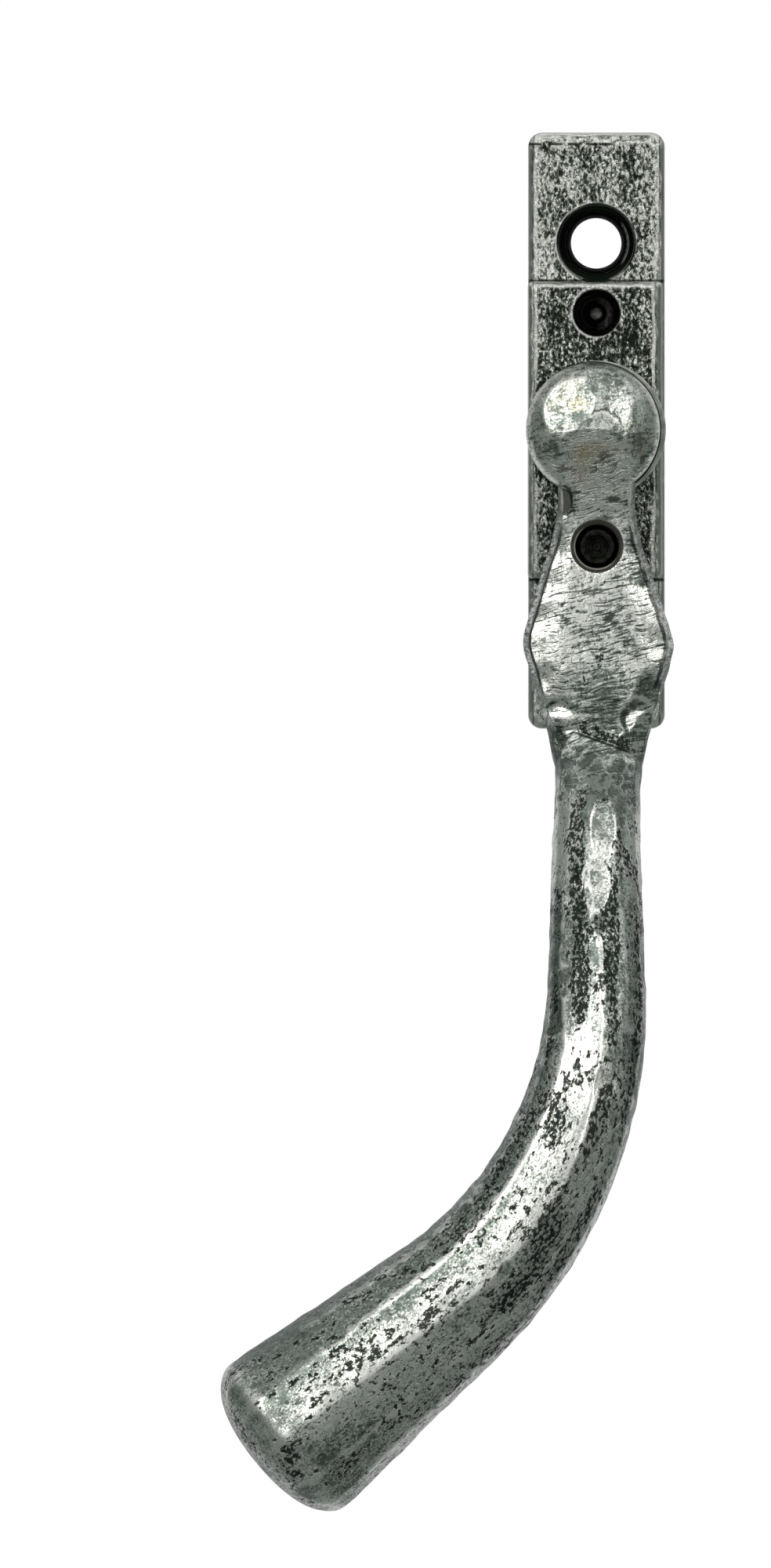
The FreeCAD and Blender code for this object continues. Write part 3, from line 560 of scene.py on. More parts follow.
def lever_path(drop):
    """Centre x, z and heading of the lever, drop millimetres along it from the pivot.

    Straight down to the bend, then round an arc, then straight on, as a function of the
    length walked. The heading is the angle turned to the left."""
    run = np.maximum(drop - arm_start, 0)
    heading = np.clip(run - arm_straight, 0, bend_radius * bend_angle) / bend_radius
    beyond = np.maximum(run - arm_straight - bend_radius * bend_angle, 0)
    x = -bend_radius * (1 - np.cos(heading)) - beyond * np.sin(heading)
    z = -np.minimum(drop, arm_start + arm_straight) - bend_radius * np.sin(heading) - beyond * np.cos(heading)
    return x, z, heading


def unbent(points):
    """Each point as across and drop, as it would lie if the lever were straight.

    The inverse of lever_path: the angle round the bend's centre gives the heading, and
    past the bend the point is measured along the last straight."""
    x, z = points[..., 0] - arm_shift, points[..., 2]
    bend_top = arm_start + arm_straight
    heading = np.clip(np.arctan2(-(z + bend_top), x + bend_radius), 0, bend_angle)
    heading = np.where(z > -bend_top, 0, heading)
    path_x = -bend_radius * (1 - np.cos(heading))
    path_z = -bend_top - bend_radius * np.sin(heading)
    along = -(x - path_x) * np.sin(heading) - (z - path_z) * np.cos(heading)
    across = (x - path_x) * np.cos(heading) - (z - path_z) * np.sin(heading)
    return across, bend_top + bend_radius * heading + along


def arm_centre(drop):
    """The y of the lever's middle line."""
    lift = np.clip((drop - arm_start + rise_lead) / rise_length, 0, 1)
    return -(lever_back + kite_front) / 2 - arm_rise * np.sin(np.pi / 2 * lift)


def blurred(rows, reach, axis, wrap):
    """Each point replaced by a weighted mean of its neighbours along one axis."""
    offsets = np.arange(-3 * int(np.ceil(reach)), 3 * int(np.ceil(reach)) + 1)
    weights = np.exp(-0.5 * (offsets / reach) ** 2)
    weights /= weights.sum()
    count = rows.shape[axis]
    answer = np.zeros_like(rows)
    for offset, weight in zip(offsets, weights):
        index = np.arange(count) + offset
        index = index % count if wrap else np.clip(index, 0, count - 1)
        answer += weight * np.take(rows, index, axis=axis)
    return answer


def eased(share):
    """A share from 0 to 1, made to start and end smoothly."""
    return share * share * (3 - 2 * share)


def pressed(points, centre, facing, reach, edge=0.25):
    """A hammer's flat: points that stand above a plane, within reach, are pushed onto it."""
    facing = np.array(facing, float) / np.linalg.norm(facing)
    offset = points - np.array(centre, float)
    above = np.maximum(offset @ facing, 0)
    near = np.clip((reach - np.linalg.norm(offset, axis=-1)) / (edge * reach), 0, 1)
    return points - (above * eased(near))[..., None] * facing


def flattened(points, facing, depth):
    """A flat on a dome: its plane lies depth below the point that stands out furthest."""
    height = points @ facing
    return points - np.maximum(height - height.max() + depth, 0)[..., None] * facing


def struck(points, x, z, facing, depth, reach, edge):
    """A hammer's flat, struck from the front at x and z, and depth below the skin there."""
    skin = points.reshape(-1, 3)
    near = skin[np.hypot(skin[:, 0] - x, skin[:, 2] - z) < 0.5]
    facing = np.array(facing, float) / np.linalg.norm(facing)
    return pressed(points, near[near[:, 1].argmin()] - depth * facing, facing, reach, edge)


# Facet corners round the arm, in degrees from its front, by distance along the lever.
corner_drops = [38.5, 50.0, 61.0, 72.0, 86.0, 108.0, 128.0, 133.3]
corner_turns = np.array([
    [-90, -64, -40, -11, 26, 60, 90, 122, 152, 180, 208, 238],
    [-90, -64, -38, -10, 26, 62, 90, 122, 152, 180, 208, 238],
    [-90, -70, -50, 5, 37, 64, 90, 120, 150, 180, 210, 240],
    [-90, -60, -33, 8, 38, 64, 90, 120, 150, 180, 210, 240],
    [-90, -62, -33, 14, 44, 68, 90, 120, 150, 180, 210, 240],
    [-90, -62, -32, 4, 38, 64, 90, 120, 150, 180, 210, 240],
    [-90, -62, -30, 0, 33, 62, 90, 120, 150, 180, 210, 240],
    [-90, -62, -30, 0, 33, 62, 90, 120, 150, 180, 210, 240],
], float)
points_per_facet = [12, 14, 22, 22, 16, 12, 10, 12, 12, 12, 12, 10]
facet_crown = 0.38


def bar_corners(drop, half_depth, left, right, rounding):
    """The twelve corners of each section and how far round the arm they lie.

    The corners are shares of the half width and half depth. On the kite they are those of a
    flat bar with slanting sides, on the arm they lie on an ellipse, and rounding goes from 0
    to 1 between the two. They wander in and out along the arm, as hammer blows leave them."""
    turns = np.radians(np.stack([np.interp(drop, corner_drops, column) for column in corner_turns.T], axis=1))
    bevel_left, bevel_right = 0.72 / left, 0.66 / right
    below_neck = np.clip((drop - 11) / 3, 0, 1)
    fall_left = (0.58 + wander(drop, 4.0, 0.34, 81)) * below_neck / half_depth
    fall_right = (0.66 + wander(drop, 4.5, 0.34, 82)) * below_neck / half_depth
    flat_x = columns(-1, bevel_left - 1, -0.52, -0.12, 0.5, 1 - bevel_right, 1, 0.96, 0.4, 0, -0.4, -0.96)
    flat_y = columns(0, 1 - fall_left, 1, 1, 1, 1 - fall_right, 0, -1, -1, -1, -1, -1)
    share = rounding[:, None]
    corner_x = (1 - share) * flat_x + share * np.sin(turns)
    corner_y = (1 - share) * flat_y + share * np.cos(turns)
    for column in range(12):
        blow = 1 + wander(drop, 9.0, 0.014, 40 + column) * rounding
        corner_x[:, column] *= blow
        corner_y[:, column] *= blow
    return corner_x, corner_y, turns


def crowned_sides(corner_x, corner_y, turns, crown):
    """Points along the sides between the corners, moved towards the ellipse by crown."""
    sides = []
    for column, count in enumerate(points_per_facet):
        following = (column + 1) % 12
        part = np.arange(count) / count
        chord_x = corner_x[:, [column]] + (corner_x[:, [following]] - corner_x[:, [column]]) * part
        chord_y = corner_y[:, [column]] + (corner_y[:, [following]] - corner_y[:, [column]]) * part
        sweep = (turns[:, following] - turns[:, column]) % (2 * np.pi)
        arc = turns[:, [column]] + sweep[:, None] * part
        crowned_x = chord_x + (np.sin(arc) - chord_x) * crown
        crowned_y = chord_y + (np.cos(arc) - chord_y) * crown
        sides.append(columns(crowned_x, crowned_y))
    return np.concatenate(sides, axis=1)


def front_dip(grid, drop):
    """How far each point of the front lies behind a straight bar's, negative where proud.

    Above neck_end the neck climbs to the head by neck_slope, softly at first. The kite's
    front dips by crease_depth to a slanting crease, and comes back below it."""
    above_kite, easing = neck_end - drop, 1.6 * np.clip((drop - 5.5) / 2.5, 0, 1)
    neck_rise = neck_slope / 2 * (above_kite + np.sqrt(above_kite ** 2 + easing ** 2))
    neck_rise = (neck_rise - 0.05 * np.clip((7.0 - drop) / 2, 0, 1) - 0.004)[:, None]
    in_front = np.clip((-grid[:, :, 1] - 15.2) / 3.2, 0, 1)
    below_crease = -grid[:, :, 2] - crease_slant * grid[:, :, 0]
    dip_start = 27.5 + 5.0 * np.clip(np.abs(grid[:, :, 0]) / 5.4, 0, 1) ** 3
    kite_dip = crease_depth * np.clip((below_crease - dip_start) / (crease_drop - dip_start), 0, 1)
    kite_dip = np.minimum(kite_dip, np.clip((45.0 - below_crease) / 13.0, 0, 1))
    return (kite_dip - neck_rise) * in_front


def forged_bar():
    """The neck, kite and arm as one bar: closed sections across the lever's path.

    Each section is a polygon with twelve corners and crowned sides, blurred a little. It is
    scaled by the half widths and half depth there, tilted with the slope of the arm and
    turned by its heading. Over tip_dome at the end it shrinks as a superellipse does."""
    rim_drop = arm_start + arm_length - tip_dome
    cap = tip_dome * np.sin(np.linspace(0, np.pi / 2, 26)) ** (2 / tip_fullness)
    drop = np.concatenate([np.arange(3.5, rim_drop - 0.1, 0.34), rim_drop + cap])
    beyond_rim = np.clip((drop - rim_drop) / tip_dome, 0, 1)
    fill = (1 - beyond_rim ** tip_fullness) ** (1 / tip_fullness)
    swell = arm_half_width + arm_swell * (np.maximum(drop - arm_start, 0) / arm_length) ** swell_power
    on_arm = np.clip((drop - 41.0) / 8.0, 0, 1)
    left, right = [
        blurred((1 - on_arm) * np.interp(drop, edge_drops, edge) + on_arm * swell, 1.6, 0, False)
        + wander(drop, 4.0, 0.10, seed) * (drop > 12)
        for edge, seed in ((edge_left, 71), (edge_right, 72))
    ]
    x, z, heading = lever_path(drop)
    x = x + arm_shift * on_arm
    y = arm_centre(drop)
    slope = np.where(drop > rim_drop, 0, blurred(-np.gradient(y, drop), 3, 0, False))
    rounding = eased(np.clip((drop - 35.5) / 11.0, 0, 1))
    half_depth = (1 - rounding) * (kite_front - lever_back) / 2 + rounding * swell * arm_depth_share
    share = rounding[:, None]
    section = crowned_sides(*bar_corners(drop, half_depth, left, right, rounding), facet_crown * share)
    wide = np.where(section[:, :, 0] < 0, left[:, None], right[:, None])
    local = section * columns(wide, half_depth[:, None])
    # The kite's front is blurred further than the arm.
    column = np.arange(local.shape[1])
    on_face = np.clip((column - 14) / 4, 0, 1) * np.clip((84 - column) / 4, 0, 1)
    local = local + (blurred(local, 3.0, 1, True) - local) * ((1 - share) * on_face)[:, :, None]
    local = local + (blurred(local, 1.0, 1, True) - local) * share[:, :, None]
    local = local * fill[:, None, None]
    across, front = local[:, :, 0], local[:, :, 1]
    tilt = (1 / np.sqrt(1 + slope ** 2))[:, None]
    sine, cosine = np.sin(heading)[:, None], np.cos(heading)[:, None]
    backward = front * slope[:, None] * tilt
    grid = columns(
        x[:, None] + across * cosine + backward * sine,
        y[:, None] - front * tilt,
        z[:, None] - across * sine + backward * cosine,
    )
    grid[:, :, 1] += front_dip(grid, drop)
    return grid


def dome_height(x, z):
    """How far the head's dome stands in front of the mounting face, at x and z.

    A flattened dome: the height falls from the middle as a superellipse's does."""
    share = np.clip(np.hypot(x - head_x, z) / head_radius, 0, 1)
    return head_side + head_dome * (1 - share ** head_fullness) ** (1 / head_fullness)


def head_blank():
    """The head as loops from its back, up its side and over the dome to the middle."""
    steps, side_rows = 150, 12
    angle = np.linspace(0, 2 * np.pi, steps, endpoint=False)
    side = np.linspace(lever_back, head_side - 0.3, side_rows)
    radii = head_radius * np.sin(np.linspace(np.pi / 2, 0, 46))[:-1]
    radii = np.concatenate([np.full(side_rows, head_radius), radii])
    x = head_x + np.multiply.outer(radii, np.cos(angle))
    z = np.multiply.outer(radii, np.sin(angle))
    dome = dome_height(x[side_rows:], z[side_rows:])
    depth = np.concatenate([np.repeat(side[:, None], steps, axis=1), dome])
    return columns(x, -depth, z)


def way_to(azimuth, elevation):
    """The unit vector towards an azimuth, counted from straight in front, and elevation."""
    a, e = math.radians(azimuth), math.radians(elevation)
    return np.array([math.sin(a) * math.cos(e), -math.cos(a) * math.cos(e), math.sin(e)])


def facing_light(azimuth, elevation):
    """The way a flat faces that mirrors light from there to someone straight in front."""
    way = way_to(azimuth, elevation) + way_to(0, 0)
    return way / np.linalg.norm(way)


bar_grid = forged_bar()
head_grid = head_blank()
# Hammer's flats on the head: up to the left and right, up, down to the left and right, and
# on the right. The last one slopes from the head's middle down to the neck.
for azimuth, elevation, depth in [
    (-25, 24, 0.42), (29, 18, 0.13), (4, 42, 0.16), (-42, -24, 0.20), (40, -22, 0.16), (52, 14, 0.12),
]:
    head_grid = flattened(head_grid, facing_light(azimuth, elevation), depth)
head_grid = pressed(head_grid, (head_x, -21.55, -0.3), (0, -1, -neck_slope), 20)
# Blows on the bar: a notch beside the neck, three hollows along the kite's lower sides, two
# small flats above its crease, and two long flats down the top of the arm.
bar_grid = pressed(bar_grid, (-2.9, -19.1, -8.0), (-0.75, -0.65, 0.05), 2.3, 0.15)
for x, z, facing, depth, reach, edge in [
    (6.2, -30.8, (0.50, -0.85, -0.14), 0.70, 3.6, 0.45), (5.2, -34.6, (0.52, -0.85, -0.05), 0.80, 3.6, 0.45),
    (-5.2, -36.2, (-0.50, -0.85, 0.05), 0.40, 2.0, 0.45), (4.9, -33.0, facing_light(20, 20), 0.10, 2.3, 0.45),
    (-4.5, -33.2, facing_light(-20, 20), 0.08, 2.2, 0.45),
    (0.9, -45.4, facing_light(18, 50), 0.09, 7.0, 0.25), (0.3, -51.8, facing_light(8, 46), 0.08, 7.0, 0.25),
]:
    bar_grid = struck(bar_grid, x, z, facing, depth, reach, edge)
# Many small flats over all of the arm, each square to the skin where it falls.
hammer = np.random.default_rng(5)
for row in np.linspace(112, len(bar_grid) - 30, 60).astype(int):
    column = int(hammer.integers(4, bar_grid.shape[1] - 4))
    ahead = bar_grid[row + 3, column] - bar_grid[row - 3, column]
    beside = bar_grid[row, column + 3] - bar_grid[row, column - 3]
    facing = np.cross(ahead, beside)
    out = bar_grid[row, column] - bar_grid[row].mean(axis=0)
    facing = facing / np.linalg.norm(facing) * np.sign(facing @ out)
    facing = facing + hammer.normal(0, 0.03, 3)
    centre = bar_grid[row, column] - facing * hammer.uniform(0.03, 0.09)
    bar_grid = pressed(bar_grid, centre, facing, hammer.uniform(1.6, 3.0), 0.4)

lever = grid_piece("forged_lever", bar_grid)
head = grid_piece("head", head_grid)
cut(lever, [head], "UNION")
cut(lever, [
    turned("spigot_bore", [(spigot_radius, lever_back - 1), (spigot_radius, lever_back + spigot_depth)]),
    turned("screw_hole", [
        (screw_radius, lever_back - 1), (screw_radius, kite_front - 0.5), (screw_sink_radius, kite_front),
        (screw_sink_radius + 1.0, kite_front + 1.0),
    ], -lock_drop),
])
lever.data.shade_smooth()
write_wear(lever, 5)


def spots(first, second, places):
    """Soft spots, added up over the points at first and second.

    A place is its first and second, its reach along each, and an amount, and the spot is
    amount * exp(-d ** 4), where d is the distance from its middle in reaches."""
    total = np.zeros(len(first))
    for middle_first, middle_second, reach_first, reach_second, amount in places:
        away = ((first - middle_first) / reach_first) ** 2 + ((second - middle_second) / reach_second) ** 2
        total += amount * np.exp(-away ** 2)
    return total


# Where the patina is pitted: distance along, degrees round, the reach of each, amount.
pitted_places = [
    (24.2, 10, 4.2, 22, 0.30), (49.5, -25, 8.0, 10, 0.50),
    (62.0, -20, 7.5, 11, 0.50), (59.0, 17, 6.5, 10, 0.50), (68.5, 20, 4.0, 7, 0.35),
    (67.0, 58, 12.0, 9, 0.35), (80.0, -17, 3.2, 14, 0.38), (75.1, -13, 1.5, 12, 0.15),
    (64.0, -55, 14.0, 8, 0.30), (78.5, 24, 5.0, 8, 0.35), (90.0, 16, 4.0, 7, 0.40),
    (96.0, 32, 7.0, 11, 0.50), (90.0, 55, 8.0, 10, 0.35), (87.0, -55, 6.0, 12, 0.25),
    (101.6, 70, 6.0, 14, 0.20), (110.0, 58, 8.0, 12, 0.12), (104.0, 8, 7.0, 14, 0.05),
    (118.0, -8, 8.0, 12, 0.08), (100.0, -45, 10.0, 14, 0.12), (122.0, 40, 8.0, 12, 0.12),
]
lever_points, lever_normals = read_points(lever)[:2]
lever_across, lever_drop = unbent(lever_points)
lever_depth = (arm_centre(lever_drop) - lever_points[:, 1]) / arm_depth_share
lever_turn = np.degrees(np.arctan2(lever_across, lever_depth))
along_arm = np.clip((lever_drop - 39) / 4, 0, 1)
pitting = 0.06 + (0.27 - 0.02 * np.clip((lever_drop - 96) / 10, 0, 1)) * along_arm
pitting += spots(lever_drop, lever_turn, pitted_places)
# How burnished the skin is along the ridge that the hand rubs, and on the dull sides.
rub_drops = [0, 12, 22, 29, 36, 40, 48, 55, 60, 66, 71, 86, 100, 124, 128, 131]
rub_left = [0.57, 0.68, 0.84, 0.44, 0.32, 0.90, 1.15, 0.34, 0.30, 0.25, 0.32, 0.30, 0.26, 0.06, 0.26, 0.42]
rub_front = [0.57, 0.68, 0.84, 0.44, 0.32, 0.45, 0.95, 0.50, 0.30, 0.50, 0.96, 0.68, 0.64, 0.90, 0.40, 0.42]
rub_right = [0.57, 0.68, 0.84, 0.44, 0.32, 0.60, 0.80, 0.44, 0.44, 0.44, 0.30, 0.74, 0.68, 0.52, 0.36, 0.40]
far_along = np.clip((lever_drop - 84) / 12, 0, 1)
on_ridge = np.exp(-((lever_turn + 6 - 6 * far_along) / (27 - 7 * far_along)) ** 4)
on_right = np.clip((lever_turn + 10) / 30, 0, 1)
burnished = (1 - on_right) * np.interp(lever_drop, rub_drops, rub_left)
burnished += on_right * np.interp(lever_drop, rub_drops, rub_right)
burnished += on_ridge * (np.interp(lever_drop, rub_drops, rub_front) - burnished)
flat_side = np.clip((0.93 + lever_normals[:, 1]) / 0.25, 0, 1) * (1 - along_arm) * (lever_drop > 9)
burnished -= 0.50 * flat_side
# Spots on the head and kite that are rubbed brighter, or left duller: x, z, reach, amount.
rubbed_spots = [
    (3.0, 2.0, 1.8, 0.02), (-3.3, 3.0, 3.2, -0.20), (0.9, 5.0, 1.9, -0.45), (0.5, -4.6, 4.0, 0.42),
    (-1.7, 0.9, 1.2, -0.50),
    (-6.0, -20.0, 2.2, 0.35), (-5.0, -25.6, 2.6, 0.62), (6.4, -21.0, 2.0, 0.35), (5.0, -17.0, 1.3, -0.65),
    (1.4, -22.2, 2.4, -0.15), (-5.0, -31.8, 1.9, 0.50), (5.0, -33.0, 1.5, 0.50), (-3.4, -35.2, 1.5, 0.70),
    (4.0, -36.4, 1.2, 0.70), (-3.8, -8.2, 1.3, -0.50), (-3.6, -14.0, 1.8, 0.40),
    (0.0, -30.4, 3.0, -0.32), (0.4, -9.2, 2.4, 0.30), (-7.0, -23.0, 1.5, 0.50),
    (-4.5, -32.8, 1.3, 0.35), (4.2, -27.4, 1.4, 0.60), (-6.1, -27.6, 1.5, 0.70),
]
# Dirt in scratches and brown stains: x, z, reach across, reach up, amount.
dirty_spots = [
    (0.9, -4.2, 1.6, 2.0, 0.9), (1.9, -8.0, 0.9, 0.45, 2.2), (0.7, -10.2, 1.0, 0.3, 2.2),
    (-0.2, -18.6, 2.1, 0.22, 2.3), (1.5, -22.2, 2.2, 2.3, 0.6), (-2.4, -7.3, 0.9, 0.28, 2.1),
    (-3.4, -4.6, 1.6, 0.6, 1.15), (0.6, -31.5, 3.0, 1.4, 0.5),
]
stained_spots = [
    (-2.2, 2.8, 1.2, 0.8, 1.0), (-0.4, -2.4, 2.3, 1.0, 1.0), (-1.8, -4.2, 1.3, 2.0, 0.8),
    (-3.4, 5.4, 1.5, 1.0, 0.4),
]
faces_room = np.clip(-3 * lever_normals[:, 1], 0, 1)
lever_xz = lever_points[:, 0], lever_points[:, 2]
round_spots = [(x, z, reach, reach, amount) for x, z, reach, amount in rubbed_spots]
burnished += spots(*lever_xz, round_spots) * faces_room
# How far a point lies in from the kite's side, and from the middles of the two long flats
# and of the notch beside the neck, whose rims are at 1.
side_left = np.interp(lever_drop, edge_drops, edge_left) + lever_across
side_right = np.interp(lever_drop, edge_drops, edge_right) - lever_across
flat_ways = [np.hypot((lever_across - x) / wide, (lever_drop - along) / long)
             for x, along, wide, long in ((0.75, 45.7, 1.36, 3.3), (0.05, 51.9, 1.62, 3.0))]
notch_way = np.hypot((lever_points[:, 0] + 3.72) / 0.78, (lever_points[:, 2] + 8.3) / 1.65)
write_points(lever, "dirty", spots(*lever_xz, dirty_spots) * faces_room)
write_points(lever, "stained", spots(*lever_xz, stained_spots) * faces_room)
write_points(lever, "from_side", np.minimum(side_left, side_right))
write_points(lever, "long_flat", np.minimum(*flat_ways) + 5 * (1 - faces_room))
write_points(lever, "notch", notch_way + 5 * (1 - faces_room))
write_points(lever, "pitting", np.where(lever_drop < 12, 0.0, pitting))
write_points(lever, "burnish", burnished)
write_points(lever, "unbent", columns(lever_across, lever_points[:, 1], -lever_drop) * MM)

forging = Finish(bpy.data.materials.new("lever_patina"))
spot = forging.place()
lever_x, lever_y, lever_z = forging.split(spot)
on_arm = lever_z.step(-0.0365, -0.0385)
on_head = lever_z.step(-0.0100, -0.0060)
# The skin: lumps under a millimetre wide on broad ones, and a fine grain.
straight_place = forging.written("unbent", "Vector")
along_bar = forging.split(straight_place)[2]
far_arm = along_bar.band(-0.1285, -0.1265, -0.090, -0.074)
lengthwise = forging.stretched(straight_place, (1.0, 1.0, 0.6))
lumps = forging.noise(lengthwise, 1300, 4.0, 0.62)
broad = forging.noise(lengthwise, 300, 3.0, 0.55)
grain = forging.noise(spot, 4200, 3.0, 0.7)
# File marks across the kite, rising to the right, and fainter ones on the head.
file_sway = forging.node("ShaderNodeTexNoise", {}, {"Vector": spot, "Scale": 240, "Detail": 1.0}, "Color")
swayed = forging.moved(spot, file_sway, 0.0016)
file_marks = forging.noise(forging.slanted(swayed, (0.0016, 0.0016, 0.00026), -13), 1.0, 3.0, 0.65)
scratches = forging.noise(forging.slanted(swayed, (0.0032, 0.0032, 0.00017), -9), 1.0, 1.0, 0.5)
head_top = lever_z.step(-0.0010, 0.0008)
filed = (1 - on_arm) * (1 - 0.50 * on_head - 0.32 * head_top)
dirt = forging.written("dirty")
file_dirt = (file_marks - 0.10 * dirt - 0.035 * on_head).step(0.42, 0.37)
deep_marks = file_dirt.largest((scratches - 0.10 * dirt).step(0.36, 0.30)) * filed
deep_marks = deep_marks.largest((dirt + (lumps - 0.5) * 3.0).step(1.25, 1.60))
# A dark line where the kite's filed side meets its front, and the two long flats.
from_side = forging.written("from_side") + (lumps - 0.5) * 0.5
side_line = from_side.band(0.62, 0.74, 0.98, 1.14) * lever_z.band(-0.0310, -0.0285, -0.0125, -0.0095)
long_flat = forging.written("long_flat") + (lumps - 0.5) * 0.22
in_flat = long_flat.step(1.02, 0.94)
beside_flat = long_flat.band(1.10, 1.20, 1.6, 2.1)
flat_rim = long_flat.band(0.90, 0.98, 1.02, 1.10)
# Pitted patches with ragged edges, a dark maze inside, a strip of them at the crease, and
# painted shade in the crease itself.
crease = lever_z + crease_slant * lever_x + crease_drop * MM
in_front = forging.written("facing").step(0.0, 0.4)
crease_reach = ((lever_x - 0.0007) ** 2).step(0.000014, 0.000007) * in_front
# A dark line painted in the crease, as its shade.
crease_shade_line = ((crease * crease) ** 0.5).step(0.00024, 0.00008) * crease_reach
crease_strip = crease.band(0.00005, 0.00030, 0.0012, 0.0021) * crease_reach
patch_edge = (lumps - 0.5) * (1.2 + 0.4 * far_arm) + (broad - 0.5) * (1.5 - 0.8 * far_arm)
patches = (forging.written("pitting") + 0.45 * crease_strip + patch_edge).step(0.42, 0.50) * (1 - in_flat)
maze = forging.noise(lengthwise, 2900, 3.0, 0.65)
pits = patches * maze.step(0.56, 0.47)
specks = maze.step(0.44, 0.37) * filed
arm_specks = (maze + (broad - 0.5) * 0.35 - far_arm * 0.032).step(0.395, 0.345) * on_arm * (1 - in_flat)
# Hammer dimples below the crease.
dimple = forging.cells(forging.stretched(forging.moved(spot, file_sway, 0.0016), (1.0, 0.0, 1.3)), 500)
dimples_end = (lever_z + (broad - 0.5) * 0.012).step(-0.0452, -0.0420)
in_dimples = crease.step(-0.0006, -0.0016) * dimples_end * in_front
dimple_dark = in_dimples * (dimple + (lumps - 0.5) * 0.8).step(0.04, 0.20)
dimple_dark = dimple_dark * (1 - 0.6 * scratches.step(0.52, 0.62))
# The lock screw's hole: a dull countersink with a bright rim, a lip lit on one side, and
# painted shade deeper in the hole.
hole_way = radial(lever_x, lever_z + lock_drop * MM)
countersink = hole_way.step(0.00306, 0.00298)
hole_rim = hole_way.step(0.00350, 0.00312) * (1 - countersink)
hole_lip = hole_way.band(0.00240, 0.00250, 0.00262, 0.00272)
lit_lip = hole_lip * (lever_x + lever_z + lock_drop * MM).step(0.0012, -0.0012)
# Edges that are worn bright, on the arm the slightest ones too.
burnish, edge_wear = forging.written("burnish"), forging.written("edge")
worn_arm = lever_z.step(-0.044, -0.052) * along_bar.step(-0.1262, -0.1230)
slight_edge = edge_wear.step(0.008, 0.022) * worn_arm * forging.written("facing").step(0.1, 0.6)
lever_edge = edge_wear.step(0.018, 0.050).largest(slight_edge) * burnish.step(0.0, 0.25)
# A forging seam on the head: a dark arc with a bright lip inside it.
seam_way = radial(lever_x - 0.00054, lever_z) + (lumps - 0.5) * 0.0012
seam_place = lever_z.step(0.0003, 0.0009) * lever_x.step(-0.0011, -0.0005)
seam = seam_way.band(0.00205, 0.00218, 0.00232, 0.00245) * seam_place
seam_lip = seam_way.band(0.00165, 0.00178, 0.00195, 0.00205) * seam_place
# A dull notch at the left of the neck, with painted shadow along its upper and right edge.
notch = forging.written("notch") + (lumps - 0.5) * 0.4
notch_shadow = notch.band(0.75, 0.95, 1.10, 1.30) * (lever_x + 0.5 * lever_z + 0.00787).step(0.0000, 0.0006)
# How bright the metal is rubbed, from 0 to 1.
broad_weight = 1.7 - 0.7 * far_arm + 1.5 * on_head - 2.3 * head_top
rubbed = (
    burnish + (broad - 0.5) * broad_weight + (lumps - 0.5) * 1.3 + (grain - 0.5) * 2.1
    + (file_marks - 0.5) * 4.0 * filed + lever_edge * 0.45 + hole_rim * 0.6 + seam_lip * 0.6
    - in_flat * 0.28 + flat_rim * 0.70 - beside_flat * 0.50
).step(0.10, 0.90)
# The colours, from the skin up to the dirt and the countersink.
dull_grain = (0.6 * lumps + 0.4 * grain).step(0.36, 0.62)
dull = forging.blend(dull_grain, (0.124, 0.155, 0.133), (0.255, 0.300, 0.267))
faint_stains = forging.noise(spot, 420, 3.0, 0.6).step(0.55, 0.70) * on_head * 0.16
brown_stains = forging.written("stained") * grain.step(0.35, 0.60) * 0.85
dark_marks = (deep_marks * 0.85).largest(specks * 0.6).largest(arm_specks * 0.75).largest(seam * 0.85)
iron = forging.layered(
    forging.blend(rubbed, dull, (0.885, 0.91, 0.868)),
    (faint_stains.largest(brown_stains), (0.57, 0.46, 0.31)),
    (patches * 0.5, (0.17, 0.19, 0.175)),
    (in_dimples * 0.45, (0.27, 0.30, 0.28)),
    (dimple_dark * 0.80, (0.085, 0.105, 0.092)),
    (in_flat * grain.step(0.54, 0.42) * 0.60, (0.20, 0.22, 0.205)),
    (dark_marks, (0.045, 0.058, 0.048)),
    (lever_edge * 0.5, (0.90, 0.91, 0.89)),
    # Pits, painted shade in the crease, and the dark line at the kite's sides.
    (pits.largest(crease_shade_line).largest(side_line * 0.9) * 0.94, (0.014, 0.020, 0.015)),
    (notch.step(1.0, 0.88), (0.27, 0.275, 0.24)),
    # Painted shadow along the notch's upper and right edge.
    (notch_shadow * 0.9, (0.020, 0.024, 0.020)),
    (countersink, (0.066, 0.065, 0.055)),
    (lit_lip * 0.9, (0.44, 0.43, 0.39)),
    # Painted shade deeper in the lock screw's hole.
    (countersink * lever_y.step(-0.0179, -0.0176), (0.018, 0.019, 0.016)),
)
lever_relief = (
    lumps * (0.30 + 0.40 * filed) + broad * (1.4 + 1.2 * filed) + grain * 0.20 + file_marks * 0.30 * filed
    - deep_marks * 0.25 - pits * 0.7 - patches * 0.4 + maze * patches * 0.6 - dimple_dark * 1.2
) * (1 - countersink)
lever.data.materials.clear()
lever.data.materials.append(forging.surface(
    Base_Color=iron, Metallic=1.0 - 0.85 * countersink, Roughness=0.38 - 0.14 * rubbed + 0.2 * pits,
    Normal=forging.relief(lever_relief, 0.00009)))
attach(lever, "handle")
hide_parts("lever")

# Stem, bush and lock screw
# The stem and its collar are turned from bar and blackened a little by the patina, with
# painted shadow on the collar under the head; the bush is moulded in black acetal, and the
# lock screw is a black oxide set screw.
turning_steel = Finish(bpy.data.materials.new("turned_steel_patina"))
spot = turning_steel.place()
stem_x, stem_y, stem_z = turning_steel.split(spot)
ring_place = turning_steel.node("ShaderNodeCombineXYZ", {}, {0: radial(stem_x, stem_z), 1: stem_y})
rings = turning_steel.noise(ring_place, 7000, 2.0, 0.6)
stem_stains = turning_steel.noise(spot, 600, 3.0, 0.6)
bright_rings = (0.5 * rings + 0.5 * stem_stains).step(0.35, 0.65)
